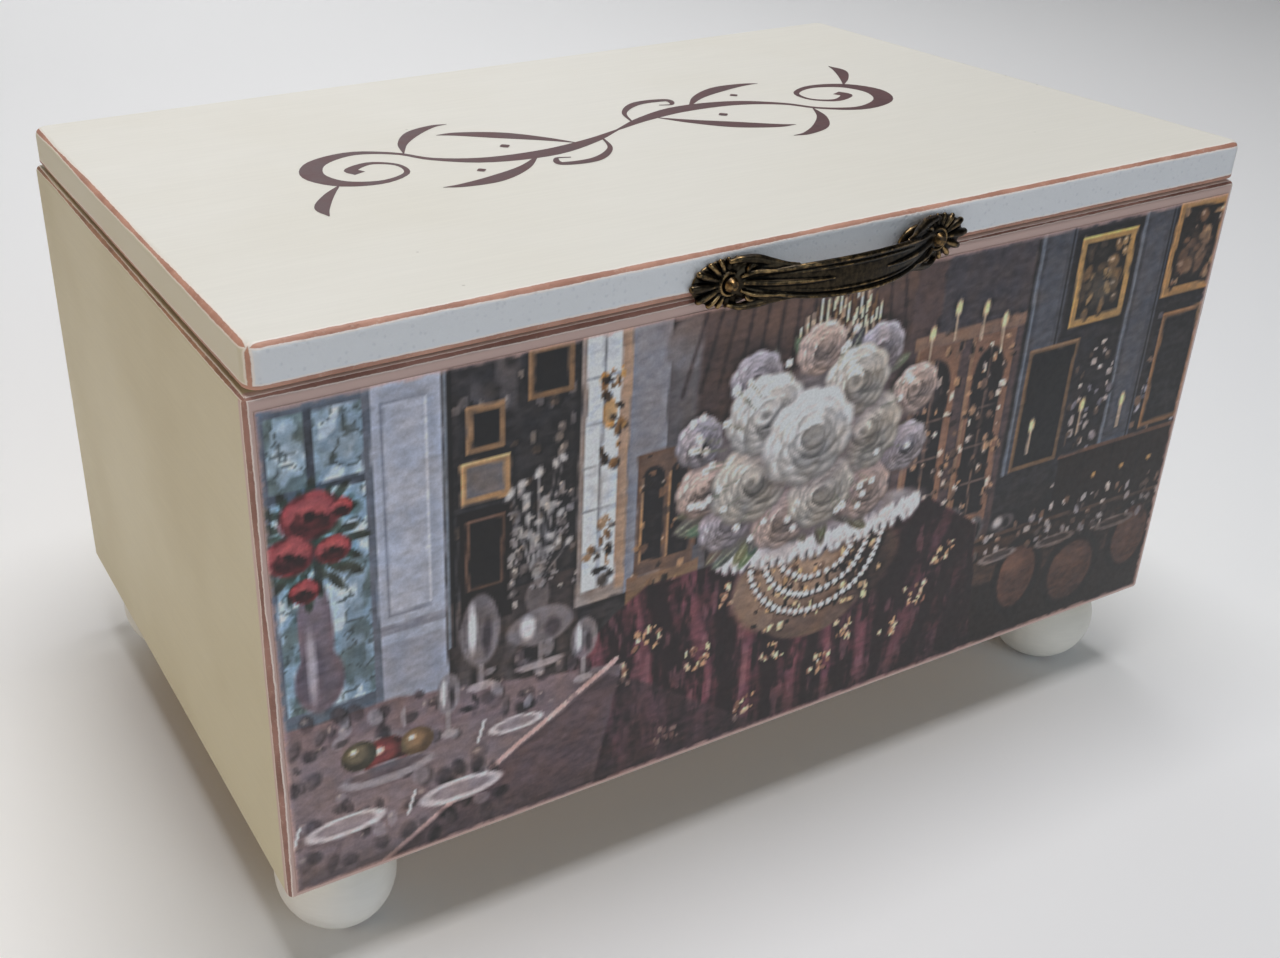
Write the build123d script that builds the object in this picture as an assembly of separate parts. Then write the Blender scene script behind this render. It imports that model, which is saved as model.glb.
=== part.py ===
"""Wooden jewellery box with a hinged lid, ball feet and two sliding tills.

Millimetres, +Z up. The floor is Z 0, the front faces -Y, and X 0, Y 0 is the middle of the whole
object's box, cast pull and hinge knuckles included.
"""
from build123d import *
from math import asin, atan2, cos, degrees, hypot, radians, sin, sqrt
import os

# ------------------------------------------------------------------ driving sizes

# Case: six boards glued edge to face, painted outside
case_width = 300.0
case_depth = 186.0
case_height = 139.0
panel_thickness = 9.0
bottom_thickness = 9.0
case_arris_radius = 1.6

# Lid: one board that lies on the case with a narrow gap
lid_thickness = 10.6
lid_gap = 1.2
lid_side_inset = 1.0
lid_front_overhang = 0.7
lid_arris_radius = 2.2
lid_corner_radius = 4.0

# Picture sheet pasted on the front
picture_thickness = 0.25
picture_side_margin = 2.2
picture_top_margin = 3.4
picture_bottom_margin = 2.0

# Ball feet
foot_radius = 16.5
foot_height = 30.0
foot_top_flat_radius = 9.2
foot_inset = 20.0
dowel_radius = 4.0
dowel_depth_in_foot = 12.0
dowel_depth_in_bottom = 6.5
dowel_clearance = 0.05
dowel_end_gap = 0.4

# Butt hinges with a stop heel
hinge_length = 30.0
hinge_from_side = 45.0
hinge_leaf_width = 8.2
hinge_leaf_gap = 0.10
hinge_barrel_radius = 1.6
hinge_barrel_clearance = 0.3
hinge_pin_radius = 0.8
hinge_pin_clearance = 0.05
hinge_knuckle_gap = 0.2
hinge_pin_head_radius = 1.3
hinge_pin_head_thickness = 0.6
heel_reach = 3.4
heel_thickness = 1.0
lid_open_angle = 105.0
heel_stop_gap = 0.03

# Hinge screws
screw_radius = 0.9
screw_head_radius = 1.7
screw_length = 8.0
screw_spacing = 18.0
screw_clearance = 0.03

# Cast pull on the lid's front edge
pull_hole_spacing = 64.0
pull_height_above_lid_bottom = 2.4
pull_off_middle = 1.5
rosette_reach = 10.7
rosette_half_height = 6.7
rosette_thickness = 3.2
bow_projection = 12.5
bow_thickness = 3.0
bow_half_height = 5.2
bow_neck_half_height = 4.2
pin_head_radius = 1.9
pin_head_height = 1.2
pin_shank_radius = 0.9
pin_shank_length = 14.0
pin_clearance = 0.03

# Small pieces of the case and lid
bumper_radius = 2.5
bumper_thickness = 1.1
bumper_inset = 5.8
bumper_from_side = 14.0
mirror_width = 190.0
mirror_depth = 110.0
mirror_thickness = 1.8
floor_pad_thickness = 1.5
floor_pad_clearance = 0.5

# Runners and tills
rim_to_upper_till = 3.0
till_level_gap = 1.2
upper_runner_projection = 5.0
lower_runner_projection = 11.0
runner_height = 7.0
till_side_clearance = 0.5
till_end_clearance = 0.5
till_runner_gap = 0.05
till_length = 138.0
till_wall = 4.5
till_bottom_thickness = 3.0
till_edge_radius = 0.8
upper_till_height = 28.0
lower_till_height = 33.0
ring_zone_depth = 76.0
ring_roll_radius = 5.2
ring_roll_pitch = 11.6
ring_roll_gap = 0.4
divider_drop = 3.0
pad_thickness = 1.2
pad_clearance = 0.4
knob_radius = 4.5
knob_projection = 9.0
knob_neck_radius = 1.9
knob_neck_length = 3.4
knob_crown_radius = 3.2
knob_under_radius = 1.2
knob_stud_radius = 1.2
knob_stud_clearance = 0.03

# ------------------------------------------------------------------ places worked out from them

front_overhang = lid_front_overhang + bow_projection
axis_behind_back = hinge_barrel_radius + hinge_barrel_clearance
leaf_thickness = (lid_gap - hinge_leaf_gap) / 2


def heel_angle():
    """Direction of the heel with the lid shut, so that it meets the back at the open angle.

    The angle is measured in the YZ plane from +Y towards +Z. The heel's leading corner stops
    heel_stop_gap short of the case's back face.
    """
    half = heel_thickness / 2
    corner_reach = hypot(heel_reach, half)
    corner_lead = atan2(half, heel_reach)
    lean = asin((axis_behind_back - heel_stop_gap) / corner_reach) - corner_lead
    return lid_open_angle - 90 - degrees(lean)


heel_lift = radians(heel_angle())
heel_back_reach = heel_reach * cos(heel_lift) + heel_thickness / 2 * abs(sin(heel_lift))
back_overhang = axis_behind_back + max(heel_back_reach, hinge_barrel_radius)

total_depth = case_depth + front_overhang + back_overhang
front_y = -total_depth / 2 + front_overhang
back_y = front_y + case_depth
inner_front_y = front_y + panel_thickness
inner_back_y = back_y - panel_thickness
middle_y = (front_y + back_y) / 2
inner_width = case_width - 2 * panel_thickness

case_bottom_z = foot_height
case_top_z = case_bottom_z + case_height
case_floor_z = case_bottom_z + bottom_thickness
lid_bottom_z = case_top_z + lid_gap

hinge_y = back_y + axis_behind_back
hinge_z = case_top_z + lid_gap / 2
hinge_x = case_width / 2 - hinge_from_side
screw_y = back_y - hinge_leaf_width / 2
lid_front_y = front_y - lid_front_overhang
pull_z = lid_bottom_z + pull_height_above_lid_bottom

upper_till_top_z = case_top_z - rim_to_upper_till
upper_runner_top_z = upper_till_top_z - upper_till_height - till_runner_gap
lower_till_top_z = upper_runner_top_z - till_level_gap
lower_runner_top_z = lower_till_top_z - lower_till_height - till_runner_gap
till_travel = inner_width - till_length - knob_projection - 2 * till_end_clearance


# ------------------------------------------------------------------ small helpers

def block(x0, x1, y0, y1, z0, z1):
    """A box between two corners."""
    centre = ((x0 + x1) / 2, (y0 + y1) / 2, (z0 + z1) / 2)
    return Pos(*centre) * Box(x1 - x0, y1 - y0, z1 - z0)


def rod_z(x, y, z0, z1, radius):
    """An upright cylinder from z0 to z1."""
    return Pos(x, y, (z0 + z1) / 2) * Cylinder(radius, z1 - z0)


def rod_x(x0, x1, y, z, radius):
    """A cylinder along X."""
    return Pos((x0 + x1) / 2, y, z) * Rot(0, 90, 0) * Cylinder(radius, x1 - x0)


def rod_y(x, y0, y1, z, radius):
    """A cylinder along Y."""
    return Pos(x, (y0 + y1) / 2, z) * Rot(90, 0, 0) * Cylinder(radius, y1 - y0)


def save(name, *solids):
    """Write one node's STEP file."""
    shape = solids[0] if len(solids) == 1 else Compound(children=list(solids))
    export_step(shape, os.path.join("parts", name + ".step"))


# ------------------------------------------------------------------ case boards

def foot_places():
    """Foot name and centre for the four corners."""
    for end, y in (("front", front_y + foot_inset), ("back", back_y - foot_inset)):
        for side, x in (("left", -case_width / 2 + foot_inset), ("right", case_width / 2 - foot_inset)):
            yield f"{end}_{side}", x, y


def long_panel(outer_y, inner_y):
    """Front or back board, full width, rounded on every edge but those of its inner face."""
    low_y, high_y = sorted((outer_y, inner_y))
    board = block(-case_width / 2, case_width / 2, low_y, high_y, case_bottom_z, case_top_z)
    outside = [edge for edge in board.edges() if abs(edge.center().Y - inner_y) > panel_thickness / 4]
    return fillet(outside, case_arris_radius)


def end_panel(side):
    """Side board between front and back, rounded on its two outer long edges."""
    outer_x = side * case_width / 2
    low_x, high_x = sorted((outer_x, outer_x - side * panel_thickness))
    board = block(low_x, high_x, inner_front_y, inner_back_y, case_bottom_z, case_top_z)
    along = [edge for edge in board.edges().filter_by(Axis.Y) if abs(edge.center().X - outer_x) < 0.01]
    return fillet(along, case_arris_radius)


def leaf_screw_places():
    """Screw centres of both hinges."""
    for centre in (-hinge_x, hinge_x):
        for step in (-1, 1):
            yield centre + step * screw_spacing / 2


def back_panel():
    """Back board with pilot holes for the hinge screws."""
    board = long_panel(back_y, inner_back_y)
    for x in leaf_screw_places():
        board -= rod_z(x, screw_y, case_top_z - screw_length, case_top_z + 1, screw_radius + screw_clearance)
    return board


def bottom_board():
    """Bottom between the four walls, drilled from below for the foot dowels."""
    board = block(-inner_width / 2, inner_width / 2, inner_front_y, inner_back_y, case_bottom_z, case_floor_z)
    for _, x, y in foot_places():
        hole_top = case_bottom_z + dowel_depth_in_bottom
        board -= rod_z(x, y, case_bottom_z - 1, hole_top, dowel_radius + dowel_clearance)
    return board


def front_picture():
    """Varnished paper sheet on the front face."""
    reach = case_width / 2 - picture_side_margin
    low_z = case_bottom_z + picture_bottom_margin
    high_z = case_top_z - picture_top_margin
    return block(-reach, reach, front_y - picture_thickness, front_y, low_z, high_z)


def floor_pad():
    """Felt on the bottom board."""
    half = inner_width / 2 - floor_pad_clearance
    low_y = inner_front_y + floor_pad_clearance
    high_y = inner_back_y - floor_pad_clearance
    return block(-half, half, low_y, high_y, case_floor_z, case_floor_z + floor_pad_thickness)


# ------------------------------------------------------------------ feet

def foot(x, y):
    """Turned ball with a flat seat on top, a small flat below and a dowel hole."""
    centre_z = case_bottom_z - sqrt(foot_radius**2 - foot_top_flat_radius**2)
    ball = Pos(x, y, centre_z) * Sphere(foot_radius)
    ball &= block(x - foot_radius, x + foot_radius, y - foot_radius, y + foot_radius, 0, case_bottom_z)
    hole_bottom = case_bottom_z - dowel_depth_in_foot
    return ball - rod_z(x, y, hole_bottom, case_bottom_z + 1, dowel_radius + dowel_clearance)


def foot_dowel(x, y):
    """Plain dowel across the joint of foot and bottom."""
    low = case_bottom_z - dowel_depth_in_foot + dowel_end_gap
    high = case_bottom_z + dowel_depth_in_bottom - dowel_end_gap
    return rod_z(x, y, low, high, dowel_radius)


# ------------------------------------------------------------------ hinges

def knuckle_spans(centre):
    """X spans of the two outer knuckles and the middle one."""
    low = centre - hinge_length / 2
    third = hinge_length / 3
    gap = hinge_knuckle_gap / 2
    outer = ((low, low + third - gap), (low + 2 * third + gap, low + hinge_length))
    middle = (low + third + gap, low + 2 * third - gap)
    return outer, middle


def leaf_plate(centre, z0, z1, relief_spans):
    """Flat of a leaf, run in to the barrel and cut clear of the other leaf's knuckles."""
    low_x = centre - hinge_length / 2
    high_x = centre + hinge_length / 2
    edge_y = hinge_y - hinge_pin_radius - hinge_pin_clearance
    plate = block(low_x, high_x, back_y - hinge_leaf_width, edge_y, z0, z1)
    relief_y = hinge_y - hinge_barrel_radius - hinge_barrel_clearance / 2
    for x0, x1 in relief_spans:
        reach0 = x0 - hinge_knuckle_gap
        reach1 = x1 + hinge_knuckle_gap
        plate -= block(reach0, reach1, relief_y, edge_y + 1, z0 - 1, z1 + 1)
    return plate


def countersunk_screw(x, head_z, drive):
    """Wood screw whose head top is at head_z. drive is +1 going up and -1 going down."""
    neck_z = head_z + drive * leaf_thickness
    tip_z = head_z + drive * (screw_length - 1)
    head = Pos(x, screw_y, (head_z + neck_z) / 2) * Rot(0 if drive < 0 else 180, 0, 0)
    head = head * Cone(screw_radius, screw_head_radius, leaf_thickness)
    return head + rod_z(x, screw_y, min(neck_z, tip_z), max(neck_z, tip_z), screw_radius)


def drill_leaf(leaf, centre, head_z, drive):
    """Countersunk holes for two screws."""
    neck_z = head_z + drive * leaf_thickness
    for step in (-1, 1):
        x = centre + step * screw_spacing / 2
        turn = 0 if drive < 0 else 180
        place = Pos(x, screw_y, (head_z + neck_z) / 2) * Rot(turn, 0, 0)
        clear = 2 * screw_clearance
        leaf -= place * Cone(screw_radius + clear, screw_head_radius + clear, leaf_thickness)
    return leaf


def barrel(x0, x1):
    """One knuckle."""
    return rod_x(x0, x1, hinge_y, hinge_z, hinge_barrel_radius)


def bore(leaf, centre):
    """Open the pin bore through the leaf's knuckles."""
    low = centre - hinge_length / 2 - 1
    high = centre + hinge_length / 2 + 1
    return leaf - rod_x(low, high, hinge_y, hinge_z, hinge_pin_radius + hinge_pin_clearance)


def case_leaf(centre):
    """Lower leaf, on the back board's top edge, with the two outer knuckles."""
    outer, middle = knuckle_spans(centre)
    leaf = leaf_plate(centre, case_top_z, case_top_z + leaf_thickness, [middle])
    for x0, x1 in outer:
        leaf += barrel(x0, x1)
    leaf = bore(leaf, centre)
    return drill_leaf(leaf, centre, case_top_z + leaf_thickness, -1)


def lid_leaf(centre):
    """Upper leaf, under the lid, with the middle knuckle and the stop heel."""
    outer, (x0, x1) = knuckle_spans(centre)
    leaf = leaf_plate(centre, lid_bottom_z - leaf_thickness, lid_bottom_z, outer)
    leaf += barrel(x0, x1)
    heel = Pos(0, heel_reach / 2, 0) * Box(x1 - x0, heel_reach, heel_thickness)
    leaf += Pos((x0 + x1) / 2, hinge_y, hinge_z) * Rot(heel_angle(), 0, 0) * heel
    leaf = bore(leaf, centre)
    return drill_leaf(leaf, centre, lid_bottom_z - leaf_thickness, 1)


def hinge_pin(centre):
    """Pin with a small head at each end of the barrel."""
    low = centre - hinge_length / 2 - hinge_knuckle_gap
    high = centre + hinge_length / 2 + hinge_knuckle_gap
    pin = rod_x(low, high, hinge_y, hinge_z, hinge_pin_radius)
    pin += rod_x(low - hinge_pin_head_thickness, low, hinge_y, hinge_z, hinge_pin_head_radius)
    return pin + rod_x(high, high + hinge_pin_head_thickness, hinge_y, hinge_z, hinge_pin_head_radius)


# ------------------------------------------------------------------ lid

def pull_pin_places():
    """X of the pull's two pins."""
    return (pull_off_middle - pull_hole_spacing / 2, pull_off_middle + pull_hole_spacing / 2)


def lid_board():
    """Lid with rounded plan corners and arrises, drilled for hinge screws and pull pins."""
    width = case_width - 2 * lid_side_inset
    board = block(-width / 2, width / 2, lid_front_y, back_y, lid_bottom_z, lid_bottom_z + lid_thickness)
    board = fillet(board.edges().filter_by(Axis.Z), lid_corner_radius)
    board = fillet(board.faces().sort_by(Axis.Z)[-1].edges(), lid_arris_radius)
    board = fillet(board.faces().sort_by(Axis.Z)[0].edges(), lid_arris_radius / 3)
    for x in leaf_screw_places():
        hole_top = lid_bottom_z + screw_length
        board -= rod_z(x, screw_y, lid_bottom_z - 1, hole_top, screw_radius + screw_clearance)
    for x in pull_pin_places():
        hole_end = lid_front_y + pin_shank_length
        board -= rod_y(x, lid_front_y - 1, hole_end, pull_z, pin_shank_radius + pin_clearance)
    return board


def lid_bumper(side):
    """Thin felt dot under the lid, above the front board's top edge."""
    x = side * (case_width / 2 - bumper_from_side)
    y = front_y + bumper_inset
    return rod_z(x, y, lid_bottom_z - bumper_thickness, lid_bottom_z, bumper_radius)


def lid_mirror():
    """Bevelled mirror glued under the lid."""
    low_y = middle_y - mirror_depth / 2
    high_y = middle_y + mirror_depth / 2
    low_z = lid_bottom_z - mirror_thickness
    plate = block(-mirror_width / 2, mirror_width / 2, low_y, high_y, low_z, lid_bottom_z)
    return chamfer(plate.faces().sort_by(Axis.Z)[0].edges(), mirror_thickness / 3)


def rosette(side):
    """Oval end of the pull, domed, behind its pin."""
    x = pull_off_middle + side * pull_hole_spacing / 2
    outline = Ellipse(rosette_reach, rosette_half_height)
    back = Plane(origin=(x, lid_front_y, pull_z), x_dir=(1, 0, 0), z_dir=(0, -1, 0))
    front = back.offset(rosette_thickness)
    return loft([back * outline, front * scale(outline, by=0.72)])


def bow():
    """Arched bar from rosette to rosette, deepest in height at the middle."""
    reach = pull_hole_spacing / 2
    seat = rosette_thickness
    inner_projection = bow_projection - bow_thickness
    outer_arc = ThreePointArc((-reach, -seat), (0, -bow_projection), (reach, -seat))
    inner_arc = ThreePointArc((reach - bow_thickness, 0), (0, -inner_projection), (bow_thickness - reach, 0))
    profile = make_face(
        outer_arc
        + Line((reach, -seat), (reach, 0))
        + Line((reach, 0), (reach - bow_thickness, 0))
        + inner_arc
        + Line((bow_thickness - reach, 0), (-reach, 0))
        + Line((-reach, 0), (-reach, -seat))
    )
    band = Pos(pull_off_middle, lid_front_y, pull_z - bow_half_height) * extrude(profile, 2 * bow_half_height)
    top_arc = ThreePointArc((-reach, bow_neck_half_height), (0, bow_half_height), (reach, bow_neck_half_height))
    bottom_arc = ThreePointArc(
        (reach, -bow_neck_half_height), (0, -bow_half_height), (-reach, -bow_neck_half_height)
    )
    outline = make_face(
        top_arc
        + Line((reach, bow_neck_half_height), (reach, -bow_neck_half_height))
        + bottom_arc
        + Line((-reach, -bow_neck_half_height), (-reach, bow_neck_half_height))
    )
    front_view = Plane(origin=(pull_off_middle, lid_front_y, pull_z), x_dir=(1, 0, 0), z_dir=(0, -1, 0))
    return band & extrude(front_view * outline, bow_projection + 1)


def lid_handle():
    """Cast pull: two rosettes and a bow in one piece, drilled for its pins."""
    pull = bow() + rosette(-1) + rosette(1)
    for x in pull_pin_places():
        pull -= rod_y(x, lid_front_y - bow_projection, lid_front_y + 1, pull_z, pin_shank_radius + pin_clearance)
        head_clear = pin_head_radius + pin_clearance
        pull -= rod_y(x, lid_front_y - bow_projection, lid_front_y - rosette_thickness, pull_z, head_clear)
    return pull


def handle_pin(x):
    """Round-headed pin through a rosette into the lid edge."""
    head_y = lid_front_y - rosette_thickness
    shank = rod_y(x, head_y, lid_front_y + pin_shank_length - 1, pull_z, pin_shank_radius)
    head = Pos(x, head_y - pin_head_height / 2, pull_z) * Rot(90, 0, 0)
    return shank + head * Cone(pin_head_radius, pin_head_radius * 0.6, pin_head_height)


# ------------------------------------------------------------------ runners and tills

def runner(wall_y, inward, projection, top_z):
    """Square strip glued along the front or back board."""
    low_y, high_y = sorted((wall_y, wall_y + inward * projection))
    return block(-inner_width / 2, inner_width / 2, low_y, high_y, top_z - runner_height, top_z)


class Till:
    """Sizes and pieces of one sliding till. side is -1 at rest on the left and +1 on the right."""

    def __init__(self, name, side, bottom_z, height, wall_gap):
        self.name = name
        self.side = side
        end_gap = till_end_clearance
        self.x0 = -inner_width / 2 + end_gap if side < 0 else inner_width / 2 - end_gap - till_length
        self.x1 = self.x0 + till_length
        self.y0 = inner_front_y + wall_gap + till_side_clearance
        self.y1 = inner_back_y - wall_gap - till_side_clearance
        self.z0 = bottom_z
        self.z1 = bottom_z + height
        self.floor_z = bottom_z + till_bottom_thickness
        self.divider_y = self.y0 + till_wall + min(ring_zone_depth, (self.y1 - self.y0) / 2)

    def long_wall(self, y):
        wall = block(self.x0, self.x1, y, y + till_wall, self.z0, self.z1)
        return fillet(wall.faces().sort_by(Axis.Z)[-1].edges().filter_by(Axis.X), till_edge_radius)

    def end_wall(self, x, drilled):
        wall = block(x, x + till_wall, self.y0 + till_wall, self.y1 - till_wall, self.z0, self.z1)
        wall = fillet(wall.faces().sort_by(Axis.Z)[-1].edges().filter_by(Axis.Y), till_edge_radius)
        if drilled:
            hole = knob_stud_radius + knob_stud_clearance
            wall -= rod_x(x - 1, x + till_wall + 1, middle_y, self.knob_z(), hole)
        return wall

    def bottom(self):
        x0 = self.x0 + till_wall
        x1 = self.x1 - till_wall
        return block(x0, x1, self.y0 + till_wall, self.y1 - till_wall, self.z0, self.floor_z)

    def long_divider(self):
        x0 = self.x0 + till_wall
        x1 = self.x1 - till_wall
        top = self.z1 - divider_drop
        return block(x0, x1, self.divider_y, self.divider_y + till_wall, self.floor_z, top)

    def cross_divider(self):
        x = (self.x0 + self.x1) / 2
        y0 = self.divider_y + till_wall
        y1 = self.y1 - till_wall
        half = till_wall / 2
        return block(x - half, x + half, y0, y1, self.floor_z, self.z1 - divider_drop)

    def pad(self, x0, x1, y0, y1):
        gap = pad_clearance
        return block(x0 + gap, x1 - gap, y0 + gap, y1 - gap, self.floor_z, self.floor_z + pad_thickness)

    def knob_z(self):
        return (self.z0 + self.z1) / 2

    def knob(self):
        """Turned knob on the end wall that faces the middle of the case."""
        face_x = self.x1 if self.side < 0 else self.x0
        head = rod_z(0, 0, knob_neck_length, knob_projection, knob_radius)
        head = fillet(head.faces().sort_by(Axis.Z)[-1].edges(), knob_crown_radius)
        head = fillet(head.faces().sort_by(Axis.Z)[0].edges(), knob_under_radius)
        turned = head + rod_z(0, 0, -till_wall, knob_neck_length, knob_stud_radius)
        turned += rod_z(0, 0, 0, knob_neck_length, knob_neck_radius)
        return Pos(face_x, middle_y, self.knob_z()) * Rot(0, -90 * self.side, 0) * turned

    def ring_rolls(self):
        """Row of cloth-covered rolls that grip rings, side by side in the front compartment."""
        x0 = self.x0 + till_wall + pad_clearance
        x1 = self.x1 - till_wall - pad_clearance
        low = self.y0 + till_wall
        room = self.divider_y - low
        count = int(room / ring_roll_pitch)
        first = low + (room - (count - 1) * ring_roll_pitch) / 2
        z = self.floor_z + pad_thickness + ring_roll_gap + ring_roll_radius
        return [rod_x(x0, x1, first + n * ring_roll_pitch, z, ring_roll_radius) for n in range(count)]

    def write_shell(self):
        name = self.name
        save(f"{name}_front_wall", self.long_wall(self.y0))
        save(f"{name}_back_wall", self.long_wall(self.y1 - till_wall))
        save(f"{name}_left_wall", self.end_wall(self.x0, self.side > 0))
        save(f"{name}_right_wall", self.end_wall(self.x1 - till_wall, self.side < 0))
        save(f"{name}_bottom", self.bottom())
        save(f"{name}_long_divider", self.long_divider())
        save(f"{name}_cross_divider", self.cross_divider())
        save(f"{name}_knob", self.knob())

    def write_pads(self):
        x0 = self.x0 + till_wall
        x1 = self.x1 - till_wall
        middle = (x0 + x1) / 2
        half = till_wall / 2
        low = self.y0 + till_wall
        high = self.y1 - till_wall
        behind = self.divider_y + till_wall
        save(f"{self.name}_front_pad", self.pad(x0, x1, low, self.divider_y))
        back_pads = (self.pad(x0, middle - half, behind, high), self.pad(middle + half, x1, behind, high))
        save(f"{self.name}_back_pads", *back_pads)


# ------------------------------------------------------------------ build everything

os.makedirs("parts", exist_ok=True)

save("front_panel", long_panel(front_y, inner_front_y))
save("back_panel", back_panel())
save("left_panel", end_panel(-1))
save("right_panel", end_panel(1))
save("bottom_board", bottom_board())
save("front_picture", front_picture())
save("floor_pad", floor_pad())

for place, foot_x, foot_y in foot_places():
    save(f"foot_{place}", foot(foot_x, foot_y))
save("foot_dowels", *[foot_dowel(x, y) for _, x, y in foot_places()])

for side_name, hinge_centre in (("left", -hinge_x), ("right", hinge_x)):
    save(f"{side_name}_hinge_case_leaf", case_leaf(hinge_centre))
    save(f"{side_name}_hinge_lid_leaf", lid_leaf(hinge_centre))
    save(f"{side_name}_hinge_pin", hinge_pin(hinge_centre))
save("case_hinge_screws", *[countersunk_screw(x, case_top_z + leaf_thickness, -1) for x in leaf_screw_places()])
save("lid_hinge_screws", *[countersunk_screw(x, lid_bottom_z - leaf_thickness, 1) for x in leaf_screw_places()])

save("lid_board", lid_board())
save("lid_handle", lid_handle())
save("handle_pins", *[handle_pin(x) for x in pull_pin_places()])
save("lid_mirror", lid_mirror())
save("lid_bumpers", lid_bumper(-1), lid_bumper(1))

save("upper_runner_front", runner(inner_front_y, 1, upper_runner_projection, upper_runner_top_z))
save("upper_runner_back", runner(inner_back_y, -1, upper_runner_projection, upper_runner_top_z))
save("lower_runner_front", runner(inner_front_y, 1, lower_runner_projection, lower_runner_top_z))
save("lower_runner_back", runner(inner_back_y, -1, lower_runner_projection, lower_runner_top_z))

upper_till = Till("upper_till", -1, upper_till_top_z - upper_till_height, upper_till_height, 0)
lower_till = Till(
    "lower_till", 1, lower_till_top_z - lower_till_height, lower_till_height, upper_runner_projection
)
for till in (upper_till, lower_till):
    till.write_shell()
    till.write_pads()
save("upper_till_ring_rolls", *upper_till.ring_rolls())

print(f"front face y {front_y:.3f}, back face y {back_y:.3f}, hinge y {hinge_y:.3f} z {hinge_z:.3f}")
print(f"till travel {till_travel:.3f}, heel angle {heel_angle():.3f}, pull z {pull_z:.3f}")
print(f"upper till z {upper_till.z0:.3f} to {upper_till.z1:.3f}, lower {lower_till.z0:.3f} to {lower_till.z1:.3f}")
print(f"lower runner bottom {lower_runner_top_z - runner_height:.3f}, floor pad top {case_floor_z + floor_pad_thickness}")
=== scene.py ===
from math import cos, hypot, pi, radians, sin, sqrt

import bmesh
import bpy
import numpy as np
from mathutils import Matrix, Vector


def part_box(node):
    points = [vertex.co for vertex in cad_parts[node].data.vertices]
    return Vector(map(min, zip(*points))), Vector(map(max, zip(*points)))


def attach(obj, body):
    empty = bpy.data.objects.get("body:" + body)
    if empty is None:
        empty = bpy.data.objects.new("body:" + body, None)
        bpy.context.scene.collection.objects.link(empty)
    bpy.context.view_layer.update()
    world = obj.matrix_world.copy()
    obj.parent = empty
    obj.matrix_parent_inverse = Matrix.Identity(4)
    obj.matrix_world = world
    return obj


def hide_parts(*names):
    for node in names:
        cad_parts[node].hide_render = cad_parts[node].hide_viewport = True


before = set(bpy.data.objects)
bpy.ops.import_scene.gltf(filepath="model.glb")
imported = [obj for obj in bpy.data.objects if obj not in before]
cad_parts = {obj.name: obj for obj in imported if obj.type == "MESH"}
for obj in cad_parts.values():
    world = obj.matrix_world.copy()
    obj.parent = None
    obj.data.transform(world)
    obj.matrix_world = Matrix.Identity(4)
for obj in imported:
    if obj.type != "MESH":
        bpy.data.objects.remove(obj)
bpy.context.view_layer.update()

MM = 0.001


# ---- Viewpoint -------------------------------------------------------------------------------
# The box is seen from above its front left corner. The view is placed from the case's lower
# front left corner, so that it follows the box if the box changes.
frame_width = 1280
frame_height = 958
sensor_width = 36.0
view_offset = Vector((-0.0810, -0.2614, 0.2691))
view_azimuth = radians(-27.36)
view_elevation = radians(28.43)
view_roll = radians(-0.58)
focal_length = 1464.0
middle_x = 478.3
middle_y = 465.0

case_low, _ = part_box("front_panel")
_, case_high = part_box("back_panel")
case_low = Vector(case_low)
case_high = Vector(case_high)
level_reach = cos(view_elevation)
backward_x = sin(view_azimuth) * level_reach
backward_y = -cos(view_azimuth) * level_reach
backward = Vector((backward_x, backward_y, sin(view_elevation)))
level_right = Vector((0, 0, 1)).cross(backward).normalized()
level_up = backward.cross(level_right)
right = level_right * cos(view_roll) + level_up * sin(view_roll)
up = level_up * cos(view_roll) - level_right * sin(view_roll)
camera_data = bpy.data.cameras.new("viewpoint")
camera_data.sensor_width = sensor_width
camera_data.lens = focal_length / frame_width * sensor_width
camera_data.shift_x = (frame_width / 2 - middle_x) / frame_width
camera_data.shift_y = (middle_y - frame_height / 2) / frame_width
camera_data.clip_start = 0.01
camera = bpy.data.objects.new("viewpoint", camera_data)
bpy.context.collection.objects.link(camera)
facing = Matrix((right, up, backward)).transposed().to_4x4()
camera.matrix_world = Matrix.Translation(case_low + view_offset) @ facing
bpy.context.scene.camera = camera


# ---- Floor and light -------------------------------------------------------------------------
# A pale sheet that sweeps up behind the box, a large soft light overhead, a cool one in front, a
# small warm one low on the left, and one for the sheet behind, all without pattern.
bpy.context.scene.view_settings.view_transform = "Standard"


def add(tree, kind, inputs=None, **settings):
    """Add a shader node, set its properties, then set or link its inputs by name or number."""
    node = tree.nodes.new(kind)
    for name, value in settings.items():
        setattr(node, name, value)
    for key, value in (inputs or {}).items():
        if isinstance(value, bpy.types.NodeSocket):
            tree.links.new(value, node.inputs[key])
        else:
            node.inputs[key].default_value = value
    return node


def new_material(name):
    """An empty material, its tree, and its surface output."""
    material = bpy.data.materials.new(name)
    material.use_nodes = True
    tree = material.node_tree
    tree.nodes.clear()
    output = tree.nodes.new("ShaderNodeOutputMaterial")
    return material, tree, output


def surface(tree, output, base, roughness, normal=None, **others):
    """End a material with a Principled surface. The others are inputs such as coat_weight."""
    inputs = {"Base Color": base, "Roughness": roughness}
    if normal is not None:
        inputs["Normal"] = normal
    for name, value in others.items():
        inputs[name.replace("_", " ").title()] = value
    shade = add(tree, "ShaderNodeBsdfPrincipled", inputs)
    tree.links.new(shade.outputs[0], output.inputs[0])


def linear_light(levels):
    """Display levels from 0 to 255 as the linear light that shaders use."""
    levels = np.asarray(levels) / 255
    return np.where(levels <= 0.04045, levels / 12.92, ((levels + 0.055) / 1.055) ** 2.4)


def colour(*levels):
    """A shader colour from red, green and blue display levels."""
    return (*(float(light) for light in linear_light(levels)), 1.0)


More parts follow.
